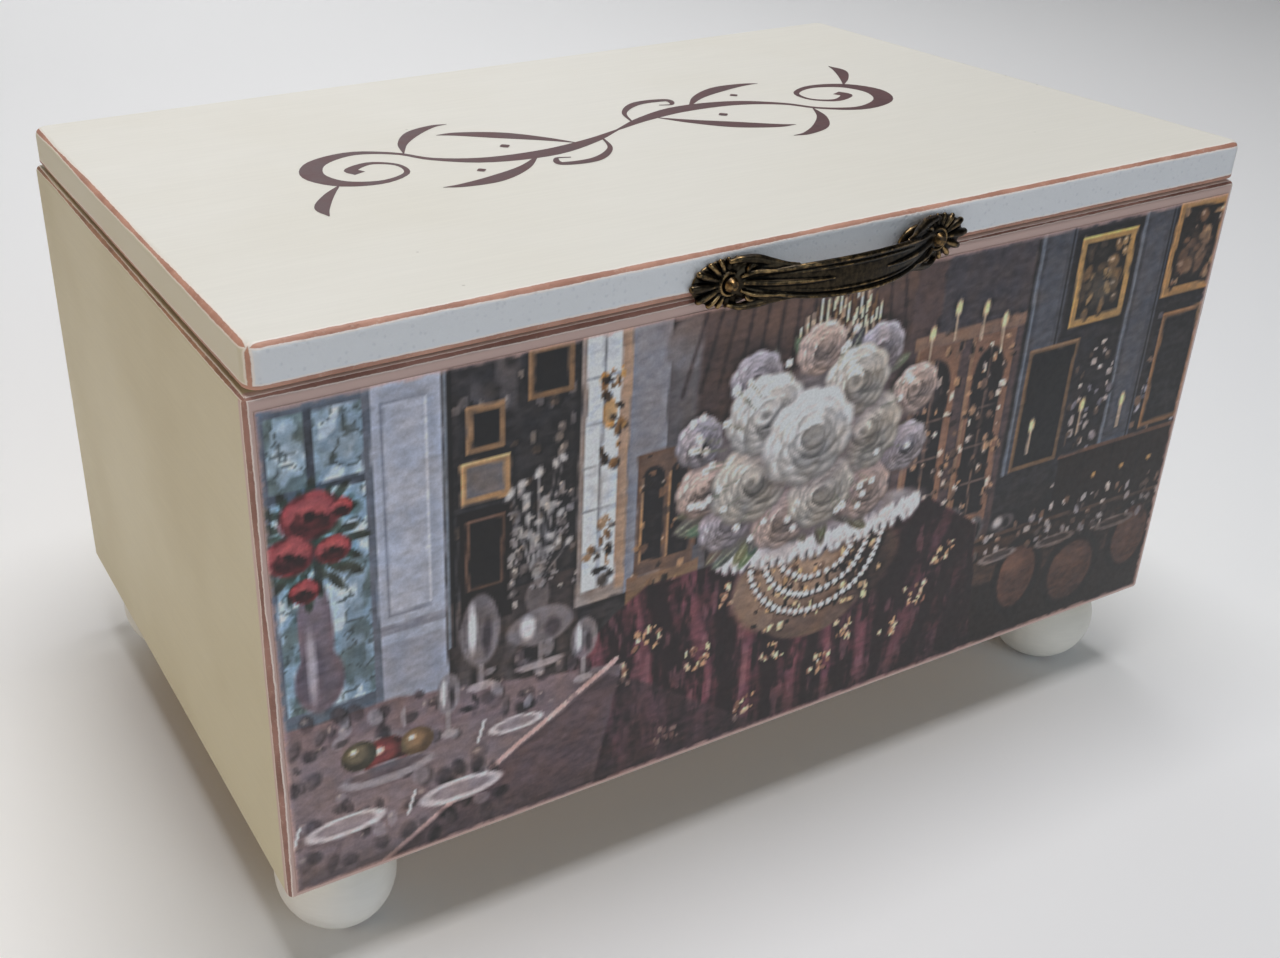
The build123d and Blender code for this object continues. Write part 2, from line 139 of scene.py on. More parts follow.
def mesh_piece(name, vertices, faces, smooth=True):
    """A linked mesh object from vertices and faces."""
    mesh = bpy.data.meshes.new(name)
    mesh.from_pydata([tuple(v) for v in vertices], [], [tuple(f) for f in faces])
    mesh.update()
    mesh.polygons.foreach_set("use_smooth", [smooth] * len(mesh.polygons))
    piece = bpy.data.objects.new(name, mesh)
    bpy.context.collection.objects.link(piece)
    return piece


floor_half_width = 1.6
floor_front = -1.2
sweep_start = 0.9
sweep_radius = 0.6
sweep_steps = 16
sweep_height = 1.4
profile = [(floor_front, 0.0), (sweep_start, 0.0)]
for step in range(1, sweep_steps + 1):
    turn = step / sweep_steps * pi / 2
    profile.append((sweep_start + sweep_radius * sin(turn), sweep_radius * (1 - cos(turn))))
profile.append((sweep_start + sweep_radius, sweep_height))
floor_vertices = [(side * floor_half_width, y, z) for y, z in profile for side in (-1, 1)]
floor_faces = [(2 * i, 2 * i + 1, 2 * i + 3, 2 * i + 2) for i in range(len(profile) - 1)]
floor = mesh_piece("floor_sweep", floor_vertices, floor_faces)
floor_material, tree, output = new_material("pale_floor_paper")
surface(tree, output, colour(250, 250, 250), 0.9)
floor.data.materials.append(floor_material)

world = bpy.data.worlds.new("soft_room")
bpy.context.scene.world = world
world.use_nodes = True
world.node_tree.nodes["Background"].inputs["Color"].default_value = (0.90, 0.94, 1.0, 1.0)
world.node_tree.nodes["Background"].inputs["Strength"].default_value = 0.05


def soft_light(name, place, aim, size, power, tint):
    """A square area light at place, facing aim."""
    data = bpy.data.lights.new(name, "AREA")
    data.shape = "SQUARE"
    data.size = size
    data.energy = power
    data.color = tint
    light = bpy.data.objects.new(name, data)
    light.location = place
    light.rotation_euler = (Vector(aim) - Vector(place)).to_track_quat("-Z", "Y").to_euler()
    light.visible_camera = False
    bpy.context.collection.objects.link(light)


soft_light("overhead_softbox", (0, -0.05, 1.3), (0, 0, 0.1), 0.6, 10.3, (0.99, 0.985, 1))
soft_light("cool_front_softbox", (-0.1, -1.25, 0.6), (0, -0.05, 0.1), 0.8, 3.4, (0.8, 0.91, 1))
soft_light("warm_side_softbox", (-0.85, -0.07, 0.32), (-0.15, -0.07, 0.03), 0.3, 0.85, (1, 0.74, 0.45))
soft_light("backdrop_softbox", (0.3, 0.75, 1.2), (0.4, 1.5, 0.45), 0.8, 6.0, (1, 1, 1))


# ---- Painted case boards ---------------------------------------------------------------------
# Front, back and side boards of the case: plain timber with a brown base coat under cream chalk paint.
# Every arris was sanded after painting, so the base coat shows there as an uneven band, edged with a
# painted pale highlight line.
def math(tree, operation, first, second=0.0, third=0.0):
    """A Math node's output."""
    inputs = {0: first, 1: second, 2: third}
    return add(tree, "ShaderNodeMath", inputs, operation=operation).outputs[0]


def product(tree, first, second):
    """Two values multiplied."""
    return math(tree, "MULTIPLY", first, second)


def vector_math(tree, operation, *vectors):
    """A Vector Math node's output."""
    inputs = dict(enumerate(vectors))
    return add(tree, "ShaderNodeVectorMath", inputs, operation=operation).outputs[0]


def object_place(tree):
    """Where a point is on the object, in metres."""
    return add(tree, "ShaderNodeTexCoord").outputs["Object"]


def bumped(tree, height, strength, depth):
    """A surface normal raised by height, depth metres at most."""
    inputs = {"Height": height, "Strength": strength, "Distance": depth}
    return add(tree, "ShaderNodeBump", inputs).outputs[0]


def span(tree, value, low, high, to_low=0.0, to_high=1.0):
    """Value from low to high, eased, as a number from to_low to to_high."""
    node = add(
        tree,
        "ShaderNodeMapRange",
        {"Value": value, "From Min": low, "From Max": high, "To Min": to_low, "To Max": to_high},
        interpolation_type="SMOOTHSTEP",
    )
    return node.outputs["Result"]


def mix(tree, factor, first, second, blend="MIX"):
    """Two colours mixed by a factor."""
    node = add(tree, "ShaderNodeMix", data_type="RGBA", blend_type=blend)
    for number, value in ((0, factor), (6, first), (7, second)):
        if isinstance(value, bpy.types.NodeSocket):
            tree.links.new(value, node.inputs[number])
        else:
            node.inputs[number].default_value = value
    return node.outputs[2]


def grey(tree, value):
    """A grey colour of the given value."""
    return add(tree, "ShaderNodeCombineColor", {0: value, 1: value, 2: value}).outputs[0]


def noise(tree, scale, detail=2.0, roughness=0.5, place=None, stretch=None):
    """Noise from 0 to 1 in object space. stretch divides the scale along each axis."""
    if place is None:
        place = object_place(tree)
    if stretch is not None:
        squeeze = [1 / s for s in stretch]
        place = add(tree, "ShaderNodeMapping", {"Vector": place, "Scale": squeeze}).outputs[0]
    inputs = {"Vector": place, "Scale": scale, "Detail": detail, "Roughness": roughness}
    return add(tree, "ShaderNodeTexNoise", inputs).outputs["Fac"]


def new_group(name, inputs, outputs):
    """A shader node group with named sockets. Each socket is (name, kind, default)."""
    group = bpy.data.node_groups.new(name, "ShaderNodeTree")
    for direction, sockets in (("INPUT", inputs), ("OUTPUT", outputs)):
        for socket_name, kind, default in sockets:
            kind = "NodeSocket" + kind
            made = group.interface.new_socket(name=socket_name, in_out=direction, socket_type=kind)
            if default is not None:
                made.default_value = default
    return group, add(group, "NodeGroupInput").outputs, add(group, "NodeGroupOutput").inputs


def give(tree, result, **made):
    """Link what a group has made to its outputs."""
    for name, socket in made.items():
        tree.links.new(socket, result[name])


def use(tree, group, inputs):
    """Place a group in a tree and return its outputs."""
    node = tree.nodes.new("ShaderNodeGroup")
    node.node_tree = group
    for key, value in inputs.items():
        if isinstance(value, bpy.types.NodeSocket):
            tree.links.new(value, node.inputs[key])
        else:
            node.inputs[key].default_value = value
    return node.outputs


sanded_arris_and_painted_highlight, given, result = new_group(
    "sanded_arris_and_painted_highlight",
    [
        ("Low Corner", "Vector", None),
        ("High Corner", "Vector", None),
        ("Width", "Float", 0.002),
        ("Raggedness", "Float", 0.6),
    ],
    [("Bare", "Float", None), ("Rim", "Float", None)],
)
tree = sanded_arris_and_painted_highlight
place = object_place(tree)
from_low = vector_math(tree, "SUBTRACT", place, given["Low Corner"])
from_high = vector_math(tree, "SUBTRACT", given["High Corner"], place)
nearest = vector_math(tree, "MINIMUM", from_low, from_high)
along = add(tree, "ShaderNodeSeparateXYZ", {0: nearest}).outputs
to_upright = product(tree, math(tree, "MAXIMUM", along[0], along[1]), 0.72)
to_level = math(tree, "MAXIMUM", math(tree, "MINIMUM", along[0], along[1]), along[2])
to_arris = math(tree, "MINIMUM", to_upright, to_level)
drift = math(tree, "SUBTRACT", noise(tree, 22.0, 3.0), 0.5)
tooth = math(tree, "SUBTRACT", noise(tree, 420.0, 4.0, 0.65), 0.5)
wander = math(tree, "ADD", product(tree, drift, 3.2), product(tree, tooth, 1.0))
ragged = product(tree, wander, given["Raggedness"])
reach = math(tree, "MULTIPLY_ADD", ragged, given["Width"], given["Width"])
edge = math(tree, "DIVIDE", to_arris, math(tree, "MAXIMUM", reach, 0.00005))
bare = span(tree, edge, 0.88, 1.04, 1.0, 0.0)
# rim: a thin painted pale highlight line just outside the bare band
rim = product(tree, span(tree, edge, 0.92, 1.04), span(tree, edge, 1.10, 1.42, 1.0, 0.0))
give(tree, result, Bare=bare, Rim=rim)

chalk_coat, given, result = new_group(
    "chalk_coat",
    [
        ("Paint", "Color", (0.8, 0.8, 0.7, 1)),
        ("Shade", "Color", (0.7, 0.7, 0.6, 1)),
        ("Brush Stretch", "Vector", (1, 1, 1)),
        ("Pitting", "Float", 0.0),
    ],
    [("Colour", "Color", None), ("Height", "Float", None), ("Roughness", "Float", None)],
)
tree = chalk_coat
place = object_place(tree)
brushed = vector_math(tree, "MULTIPLY", place, given["Brush Stretch"])
strokes = noise(tree, 900.0, 3.0, 0.6, brushed)
broad = noise(tree, 9.0, 3.0, 0.55)
cloudy = span(tree, broad, 0.32, 0.72)
nib_cells = add(tree, "ShaderNodeTexVoronoi", {"Vector": place, "Scale": 95.0, "Randomness": 1.0})
nib_choice = add(tree, "ShaderNodeSeparateColor", {0: nib_cells.outputs["Color"]}).outputs[0]
nib_spot = span(tree, nib_cells.outputs["Distance"], 0.03, 0.06, 1.0, 0.0)
nib = product(tree, nib_spot, math(tree, "GREATER_THAN", nib_choice, 0.93))
toned = mix(tree, product(tree, cloudy, 0.8), given["Paint"], given["Shade"])
streak = span(tree, strokes, 0.3, 0.75, 0.98, 1.012)
toned = mix(tree, 1.0, toned, grey(tree, streak), "MULTIPLY")
toned = mix(tree, product(tree, nib, 0.35), toned, colour(120, 112, 96))
pit_cells = add(tree, "ShaderNodeTexVoronoi", {"Vector": place, "Scale": 640.0, "Randomness": 1.0})
pit_choice = add(tree, "ShaderNodeSeparateColor", {0: pit_cells.outputs["Color"]}).outputs[0]
pit_spot = span(tree, pit_cells.outputs["Distance"], 0.10, 0.38, 1.0, 0.0)
pit = product(tree, product(tree, pit_spot, given["Pitting"]), span(tree, pit_choice, 0.25, 0.65))
peel = product(tree, math(tree, "SUBTRACT", noise(tree, 1000.0, 3.0, 0.7), 0.5), given["Pitting"])
toned = mix(tree, product(tree, pit, 0.5), toned, colour(132, 134, 138))
grit = noise(tree, 1500.0, 2.0, 0.6)
height = math(tree, "ADD", product(tree, strokes, 0.6), product(tree, grit, 0.4))
height = math(tree, "ADD", height, product(tree, nib, 1.2))
height = math(tree, "SUBTRACT", height, product(tree, pit, 3.0))
height = math(tree, "MULTIPLY_ADD", peel, 5.0, height)
gloss = math(tree, "MULTIPLY_ADD", cloudy, 0.10, 0.42)
give(tree, result, Colour=toned, Height=height, Roughness=gloss)


def sanded_paint(
    name, low, high, paint, shade, base_warm, base_dark, width, raggedness, brush, face_coats=()
):
    """Paint over a brown base coat, rubbed through along the arrises of the box low to high, with a
    painted pale highlight line along each rubbed band.

    The bare band's width is in metres, and brush is small along the brush strokes. A face coat is a
    different tint on one face: its colour, the axis and end of that face, how deep it wraps round
    in metres, and how strongly it is pitted.
    """
    material, tree, output = new_material(name)
    here = add(tree, "ShaderNodeSeparateXYZ", {0: object_place(tree)}).outputs
    feather = 0.4 * MM
    tinted_faces = []
    pitted = 0.0
    for tint, axis, end, depth, pitting in face_coats:
        wrap_end = low[axis] + depth if end == "low" else high[axis] - depth
        on_and_off = (1.0, 0.0) if end == "low" else (0.0, 1.0)
        on_face = span(tree, here[axis], wrap_end - feather, wrap_end + feather, *on_and_off)
        tinted_faces.append((on_face, tint))
        if pitting:
            pitted = product(tree, on_face, pitting)
    coat_inputs = {"Paint": paint, "Shade": shade, "Brush Stretch": brush, "Pitting": pitted}
    coat = use(tree, chalk_coat, coat_inputs)
    arris_inputs = {"Low Corner": low, "High Corner": high, "Width": width}
    worn_and_highlight = use(tree, sanded_arris_and_painted_highlight, {**arris_inputs, "Raggedness": raggedness})
    painted = coat["Colour"]
    for on_face, tint in tinted_faces:
        streaked = mix(tree, 0.25, tint, coat["Colour"])
        painted = mix(tree, on_face, painted, streaked)
    blotch = span(tree, noise(tree, 60.0, 4.0, 0.6), 0.35, 0.68)
    timber = mix(tree, blotch, base_warm, base_dark)
    fibre = noise(tree, 700.0, 3.0, 0.7)
    timber = mix(tree, span(tree, fibre, 0.55, 0.8, 0.0, 0.35), timber, colour(232, 214, 196))
    # Painted highlight: a near-white line along the edge of each sanded band.
    face = mix(tree, product(tree, worn_and_highlight["Rim"], 0.8), painted, colour(252, 240, 230))
    face = mix(tree, worn_and_highlight["Bare"], face, timber)
    step = math(tree, "MULTIPLY_ADD", worn_and_highlight["Bare"], -2.5, coat["Height"])
    bump = bumped(tree, step, 0.32, 0.00012)
    gloss = math(tree, "MULTIPLY_ADD", worn_and_highlight["Bare"], 0.12, coat["Roughness"])
    surface(tree, output, face, gloss, bump, coat_weight=0.12, coat_roughness=0.35)
    return material


def dress(node_name, material):
    """Put a material on every slot of a CAD piece."""
    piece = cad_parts[node_name]
    if not piece.material_slots:
        piece.data.materials.append(material)
    for slot in piece.material_slots:
        slot.material = material


# The case's cream is darker and yellower than the lid's: the same paint, with painted warm side light
# in its colour.
case_cream_with_painted_warm_light = colour(219, 209, 173)
case_cream_shade_with_painted_warm_light = colour(203, 191, 153)
brushed_across = (1.0, 0.05, 1.0)
brushed_along = (0.05, 1.0, 1.0)
case_paint = sanded_paint(
    "cream_chalk_paint_case", case_low, case_high, case_cream_with_painted_warm_light, case_cream_shade_with_painted_warm_light,
    colour(196, 146, 112), colour(150, 108, 80), 0.85 * MM, 0.45, brushed_across,
)
for board in ("back_panel", "left_panel", "right_panel"):
    dress(board, case_paint)

# The front board has the same paint, with a mauve glue size on its face that shows as a margin
# round the picture.
front_margin_paint = sanded_paint(
    "sanded_front_margin", case_low, case_high, case_cream_with_painted_warm_light, case_cream_shade_with_painted_warm_light,
    colour(176, 130, 116), colour(140, 98, 84), 0.8 * MM, 0.45, brushed_along,
    [(colour(208, 168, 168), 1, "low", 2.6 * MM, 0.0)],
)
dress("front_panel", front_margin_paint)


# ---- Bottom, dowels and runners --------------------------------------------------------------
# The bottom is sanded board left bare. The four runners are strips of the same timber, stained
# and waxed, glued along the front and back boards for the tills to slide on.
timber_grain, given, result = new_group(
    "timber_grain",
    [
        ("Light", "Color", (0.6, 0.4, 0.2, 1)),
        ("Dark", "Color", (0.3, 0.2, 0.1, 1)),
        ("Along", "Vector", (0.04, 1, 1)),
        ("Figure", "Float", 60.0),
    ],
    [("Colour", "Color", None), ("Height", "Float", None), ("Roughness", "Float", None)],
)
tree = timber_grain
place = object_place(tree)
drawn = vector_math(tree, "MULTIPLY", place, given["Along"])
warp_inputs = {"Vector": drawn, "Scale": 14.0, "Detail": 2.0}
warp = add(tree, "ShaderNodeTexNoise", warp_inputs).outputs["Color"]
bent = vector_math(tree, "MULTIPLY_ADD", warp, (0.03, 0.03, 0.03), drawn)
figure = span(tree, noise(tree, given["Figure"], 4.0, 0.55, bent), 0.34, 0.66)
grained = mix(tree, figure, given["Dark"], given["Light"])
pore_mask = span(tree, noise(tree, 1400.0, 2.0, 0.6, drawn), 0.58, 0.72, 0.0, 0.55)
grained = mix(tree, pore_mask, grained, given["Dark"])
raised = math(tree, "MULTIPLY_ADD", pore_mask, -1.0, product(tree, figure, 0.3))
gloss = math(tree, "MULTIPLY_ADD", pore_mask, 0.25, 0.44)
give(tree, result, Colour=grained, Height=raised, Roughness=gloss)


def grained_wood(name, light, dark, along, figure=60.0, wax=0.0):
    """Timber with grain drawn out where along is small."""
    material, tree, output = new_material(name)
    wood = use(tree, timber_grain, {"Light": light, "Dark": dark, "Along": along, "Figure": figure})
    bump = bumped(tree, wood["Height"], 0.35, 0.0002)
    coat = {"coat_weight": wax, "coat_roughness": 0.3}
    surface(tree, output, wood["Colour"], wood["Roughness"], bump, **coat)
    return material


along_x = (0.04, 1.0, 1.0)
along_y = (1.0, 0.04, 1.0)
along_z = (1.0, 1.0, 0.04)
bare_board = grained_wood(
    "sanded_bare_board", colour(214, 184, 142), colour(176, 136, 94), along_x, 45.0
)
dress("bottom_board", bare_board)
dowel_beech = grained_wood(
    "dowel_beech", colour(220, 190, 150), colour(190, 150, 108), along_z, 90.0
)
dress("foot_dowels", dowel_beech)
waxed_x = grained_wood(
    "waxed_walnut_lengthways", colour(150, 104, 68), colour(88, 56, 36), along_x, 70.0, 0.25
)
waxed_y = grained_wood(
    "waxed_walnut_crossways", colour(146, 100, 66), colour(84, 54, 34), along_y, 70.0, 0.25
)
for runner in ("upper_runner", "lower_runner"):
    for end in ("front", "back"):
        dress(f"{runner}_{end}", waxed_x)


# ---- Ball feet -------------------------------------------------------------------------------
# Four turned balls, painted with the same cream in two thick coats. The brush leaves rings, and
# the paint is rubbed a little where each ball stands.
foot_material, tree, output = new_material("cream_chalk_paint_feet")
coat_inputs = {"Paint": colour(240, 238, 232), "Shade": colour(230, 227, 216)}
coat = use(tree, chalk_coat, {**coat_inputs, "Brush Stretch": (0.15, 0.15, 1.0)})
place = object_place(tree)
height_up = add(tree, "ShaderNodeSeparateXYZ", {0: place}).outputs[2]
near_floor = span(tree, height_up, 0.5 * MM, 4.0 * MM, 1.0, 0.0)
scuffed = product(tree, near_floor, span(tree, noise(tree, 300.0, 3.0), 0.4, 0.6))
face = mix(tree, product(tree, scuffed, 0.8), coat["Colour"], colour(160, 120, 96))
bump = bumped(tree, coat["Height"], 0.3, 0.00015)
surface(tree, output, face, coat["Roughness"], bump, coat_weight=0.2, coat_roughness=0.3)
for end in ("front", "back"):
    for side in ("left", "right"):
        dress(f"foot_{end}_{side}", foot_material)


# ---- Lid board -------------------------------------------------------------------------------
# One board in the same cream paint. Its left, right and back edges take a darker, warmer cream as
# painted warm side light, and its front edge a cooler white as painted cool front light. Its arrises
# are rounded and sanded to a terracotta base coat.
lid_low, lid_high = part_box("lid_board")
lid_side_cream_painted_warm_light = colour(219, 211, 180)
lid_front_white_painted_cool_light = colour(236, 238, 244)
lid_paint = sanded_paint(
    "cream_chalk_paint_lid", lid_low, lid_high, colour(234, 231, 221), colour(228, 224, 211),
    colour(206, 154, 132), colour(176, 126, 106), 1.22 * MM, 0.35, brushed_along,
    # Face coats: painted warm side light on the side and back edges, painted cool front light on the
    # front edge, which is also pitted.
    [
        (lid_side_cream_painted_warm_light, 0, "low", 0.9 * MM, 0.0),
        (lid_side_cream_painted_warm_light, 0, "high", 0.9 * MM, 0.0),
        (lid_side_cream_painted_warm_light, 1, "high", 0.9 * MM, 0.0),
        (lid_front_white_painted_cool_light, 1, "low", 0.9 * MM, 1.0),
    ],
)
dress("lid_board", lid_paint)


# ---- Painted scroll on the lid ---------------------------------------------------------------
# A flourish in brown mauve paint, laid on the lid top with a broad nib: one long stem that curls
# into a spiral at each end, with leaves and dots. It spells nothing.
pen_lift = 0.02 * MM
pen_climb = 0.004 * MM
lid_top_z = lid_high[2]
case_left_x = case_low.x
case_front_y = case_low.y


def smooth_path(points, count):
    """Points along a Catmull-Rom curve through the given points, which may have any width."""
    points = np.array(points, dtype=float)
    ends = np.vstack((2 * points[0] - points[1], points, 2 * points[-1] - points[-2]))
    spots = np.linspace(0, len(points) - 1, count, endpoint=True)
    path = []
    for spot in spots:
        start = min(int(spot), len(points) - 2)
        t = spot - start
        a, b, c, d = ends[start : start + 4]
        curved = (2 * a - 5 * b + 4 * c - d) * t**2 + (3 * b - 3 * c + d - a) * t**3
        path.append(0.5 * (2 * b + (c - a) * t + curved))
    return np.array(path)


def pen_stroke(points, vertices, faces, lift, steps=72):
    """A flat stroke through (x, y, width) points, in mm from the case's front left corner."""
    path = smooth_path(points, steps)
    ahead = np.gradient(path[:, :2], axis=0)
    ahead /= np.linalg.norm(ahead, axis=1)[:, None] + 1e-9
    beside = np.stack((-ahead[:, 1], ahead[:, 0]), axis=1)
    first = len(vertices)
    for step, ((x, y, width), (across_x, across_y)) in enumerate(zip(path, beside)):
        half = max(width, 0.12) / 2
        for side in (-1, 1):
            edge_x = case_left_x + (x + side * half * across_x) * MM
            edge_y = case_front_y + (y + side * half * across_y) * MM
            vertices.append((edge_x, edge_y, lid_top_z + lift + pen_climb * step / steps))
    for step in range(steps - 1):
        corner = first + 2 * step
        faces.append((corner, corner + 2, corner + 3, corner + 1))


def mirrored(points, middle):
    """The same stroke turned half round about the flourish's middle."""
    return [(2 * middle[0] - x, 2 * middle[1] - y, width) for x, y, width in points]


knot = (151.0, 96.0)
half_flourish = [
    # long swelling stem from the knot, curling into a spiral
    [
        (151, 96, 1.0), (138, 90, 4.2), (122, 86, 6.4), (104, 88, 5.0), (91, 96, 2.4),
        (84, 106, 2.0), (73, 112, 3.6), (61, 108, 5.8), (56, 98, 6.4), (60, 88, 4.8),
        (70, 84, 3.0), (79, 88, 1.8), (80, 96, 1.6), (74, 101, 2.4), (67, 98, 3.8), (68, 94, 4.0),
    ],
    # leaves that leave the stem above and below
    [(134, 90, 0.4), (127, 99, 3.6), (118, 108, 6.0), (108, 115, 3.6), (102, 117, 0.3)],
    [(118, 85, 0.4), (109, 77, 3.4), (98, 72, 5.4), (88, 71, 3.0), (82, 72, 0.3)],
    [(86, 105, 0.4), (90, 114, 3.0), (97, 122, 4.6), (105, 126, 2.4), (110, 126, 0.3)],
    [(59, 87, 0.4), (53, 80, 3.0), (48, 72, 4.0), (47, 65, 0.3)],
    # a tendril and two dots
    [
        (143, 92, 0.5), (139, 81, 1.6), (130, 74, 3.2), (120, 75, 2.6), (121, 80, 1.2),
        (125, 79, 0.6),
    ],
    [(96.4, 80.5, 0.3), (97.8, 80.5, 2.9), (99.2, 80.5, 0.3)],
    [(112.6, 97.5, 0.3), (114.2, 97.5, 3.3), (115.8, 97.5, 0.3)],
]
vertices, faces = [], []
for number, stroke in enumerate(half_flourish):
    lift = pen_lift + 2.4 * pen_climb * number
    pen_stroke(stroke, vertices, faces, lift)
    pen_stroke(mirrored(stroke, knot), vertices, faces, lift + 1.2 * pen_climb)
flourish = mesh_piece("lid_scroll_flourish", vertices, faces, smooth=False)
flourish_material, tree, output = new_material("brown_mauve_pen_paint")
thin = span(tree, noise(tree, 160.0, 4.0, 0.6), 0.35, 0.75)
ink = mix(tree, thin, colour(86, 58, 60), colour(104, 74, 74))
grit = noise(tree, 1200.0, 2.0)
bump = bumped(tree, grit, 0.2, 0.0001)
surface(tree, output, ink, span(tree, thin, 0.0, 1.0, 0.42, 0.55), bump)
flourish.data.materials.append(flourish_material)
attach(flourish, "lid")


# ---- Lid mirror and bumpers ------------------------------------------------------------------
# A bevelled mirror is glued under the lid, and two thin felt dots keep the lid level in front.
mirror_material, tree, output = new_material("silvered_mirror")
haze = span(tree, noise(tree, 30.0, 3.0), 0.3, 0.8, 0.015, 0.05)
surface(tree, output, colour(226, 231, 230), haze, metallic=1.0)
dress("lid_mirror", mirror_material)

felt_nap, given, result = new_group(
    "felt_nap",
    [
        ("Colour", "Color", (0.3, 0.05, 0.07, 1)),
        ("Fibre", "Color", (0.5, 0.2, 0.2, 1)),
        ("Fineness", "Float", 1800.0),
    ],
    [("Colour", "Color", None), ("Height", "Float", None)],
)
tree = felt_nap
place = object_place(tree)
fibre_inputs = {"Vector": place, "Scale": given["Fineness"], "Detail": 3.0, "Distortion": 1.6}
fibres = add(tree, "ShaderNodeTexNoise", fibre_inputs)
clumps = noise(tree, 90.0, 4.0, 0.6)
fibre_share = span(tree, fibres.outputs["Fac"], 0.45, 0.75, 0.0, 0.6)
napped = mix(tree, fibre_share, given["Colour"], given["Fibre"])
napped = mix(tree, span(tree, clumps, 0.35, 0.75, 0.0, 0.35), napped, given["Fibre"])
give(tree, result, Colour=napped, Height=math(tree, "ADD", fibres.outputs["Fac"], clumps))


def napped_cloth(name, ground, fibre, fineness, sheen, depth):
    """Felt or velvet: fine fibres with a soft sheen."""
    material, tree, output = new_material(name)
    nap = use(tree, felt_nap, {"Colour": ground, "Fibre": fibre, "Fineness": fineness})
    bump = bumped(tree, nap["Height"], 0.6, depth)
    surface(tree, output, nap["Colour"], 0.95, bump, sheen_weight=sheen, sheen_roughness=0.4)
    return material


wine_felt = napped_cloth(
    "wine_felt", colour(104, 34, 44), colour(140, 66, 72), 1800.0, 0.35, 0.0004
)
dress("lid_bumpers", wine_felt)


# ---- Hinges ----------------------------------------------------------------------------------
# Two small drawn brass butt hinges, each of two leaves, a pin and four countersunk screws. The
# lid leaf carries the heel that stops the lid. The brass is lacquered and lightly scratched.
brass_material, tree, output = new_material("drawn_brass")
lines = noise(tree, 2200.0, 3.0, 0.6, stretch=(14.0, 1.0, 1.0))
tarnish = span(tree, noise(tree, 160.0, 4.0, 0.6), 0.42, 0.72)
metal = mix(tree, tarnish, colour(212, 172, 98), colour(158, 118, 62))
rough = math(tree, "MULTIPLY_ADD", tarnish, 0.16, span(tree, lines, 0.3, 0.7, 0.22, 0.34))
bump = bumped(tree, lines, 0.25, 0.00005)
surface(tree, output, metal, rough, bump, metallic=1.0)
for side in ("left", "right"):
    for piece_name in ("case_leaf", "lid_leaf", "pin"):
        dress(f"{side}_hinge_{piece_name}", brass_material)
dress("case_hinge_screws", brass_material)
dress("lid_hinge_screws", brass_material)


# ---- Front picture ---------------------------------------------------------------------------
# A printed sheet pasted over the whole front and varnished: an invented old-room still life with
# a big pale bouquet in an urn on a draped table. It is a thin sheet, brushed over with varnish.
picture_low, picture_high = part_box("front_picture")
picture_width_mm = (picture_high[0] - picture_low[0]) / MM
picture_height_mm = (picture_high[2] - picture_low[2]) / MM
picture_columns = 440
picture_rows = 200
print_gain = 2.25
varnish_haze = 0.030
aged_varnish = np.array((1.06, 0.98, 0.93))
eye_weights = np.array((0.2126, 0.7152, 0.0722))
golden_turn = 2.39996
across = np.linspace(0.0, picture_width_mm, picture_columns)
upward = np.linspace(0.0, picture_height_mm, picture_rows)
X, Z = np.meshgrid(across, upward)
canvas = np.empty(X.shape + (3,))
canvas[:] = (60, 56, 60)
brush_seed = np.random.default_rng(41)


def field(scale_x, scale_z):
    """Smooth random field from about -1 to 1, with features of the given size in mm."""
    total = np.zeros(X.shape)
    for octave in range(3):
        size_x = scale_x / 2**octave
        size_z = scale_z / 2**octave
        cell_rows = int(picture_height_mm / size_z) + 4
        cell_columns = int(picture_width_mm / size_x) + 4
        cells = brush_seed.random((cell_rows, cell_columns)) * 2 - 1
        u = X / size_x
        v = Z / size_z
        i = u.astype(int)
        j = v.astype(int)
        fu = u - i
        fv = v - j
        fu = fu * fu * (3 - 2 * fu)
        fv = fv * fv * (3 - 2 * fv)
        low_row = cells[j, i] * (1 - fu) + cells[j, i + 1] * fu
        high_row = cells[j + 1, i] * (1 - fu) + cells[j + 1, i + 1] * fu
        total += (low_row * (1 - fv) + high_row * fv) / 2**octave
    return total


waver_x = 0.40 * field(9, 9)
waver_z = 0.40 * field(9, 9)


def ease(value, low, high):
    """0 below low, 1 above high, eased between."""
    t = np.clip((value - low) / (high - low), 0, 1)
    return t * t * (3 - 2 * t)


def lay(mask, tint, strength=1.0):
    """Paint a tint, from 0 to 255, through a mask."""
    amount = (np.clip(mask, 0, 1) * strength)[..., None]
    canvas[:] = canvas * (1 - amount) + np.array(tint, dtype=float) * amount


def panel(x0, x1, z0, z1, soft=0.6):
    """Upright rectangle with wavering edges."""
    x = X + waver_x
    z = Z + waver_z
    fade = soft / 2
    sides = ease(x, x0 - fade, x0 + fade) * (1 - ease(x, x1 - fade, x1 + fade))
    return sides * ease(z, z0 - fade, z0 + fade) * (1 - ease(z, z1 - fade, z1 + fade))


def oval(x0, z0, rx, rz, soft=0.15, lean=0.0):
    """Oval with a soft edge, leaning by an angle in degrees."""
    dx = X + waver_x * 0.6 - x0
    dz = Z + waver_z * 0.6 - z0
    c = cos(radians(lean))
    s = sin(radians(lean))
    distance = np.hypot((dx * c + dz * s) / rx, (dz * c - dx * s) / rz)
    return 1 - ease(distance, 1 - soft, 1 + soft)


def line(x0, z0, x1, z1, width, soft=0.4):
    """Straight stroke from point to point."""
    dx, dz = x1 - x0, z1 - z0
    length_squared = dx * dx + dz * dz
    t = np.clip(((X - x0) * dx + (Z - z0) * dz) / length_squared, 0, 1)
    distance = np.hypot(X + waver_x * 0.5 - x0 - t * dx, Z + waver_z * 0.5 - z0 - t * dz)
    return 1 - ease(distance, width / 2 - soft / 2, width / 2 + soft / 2)


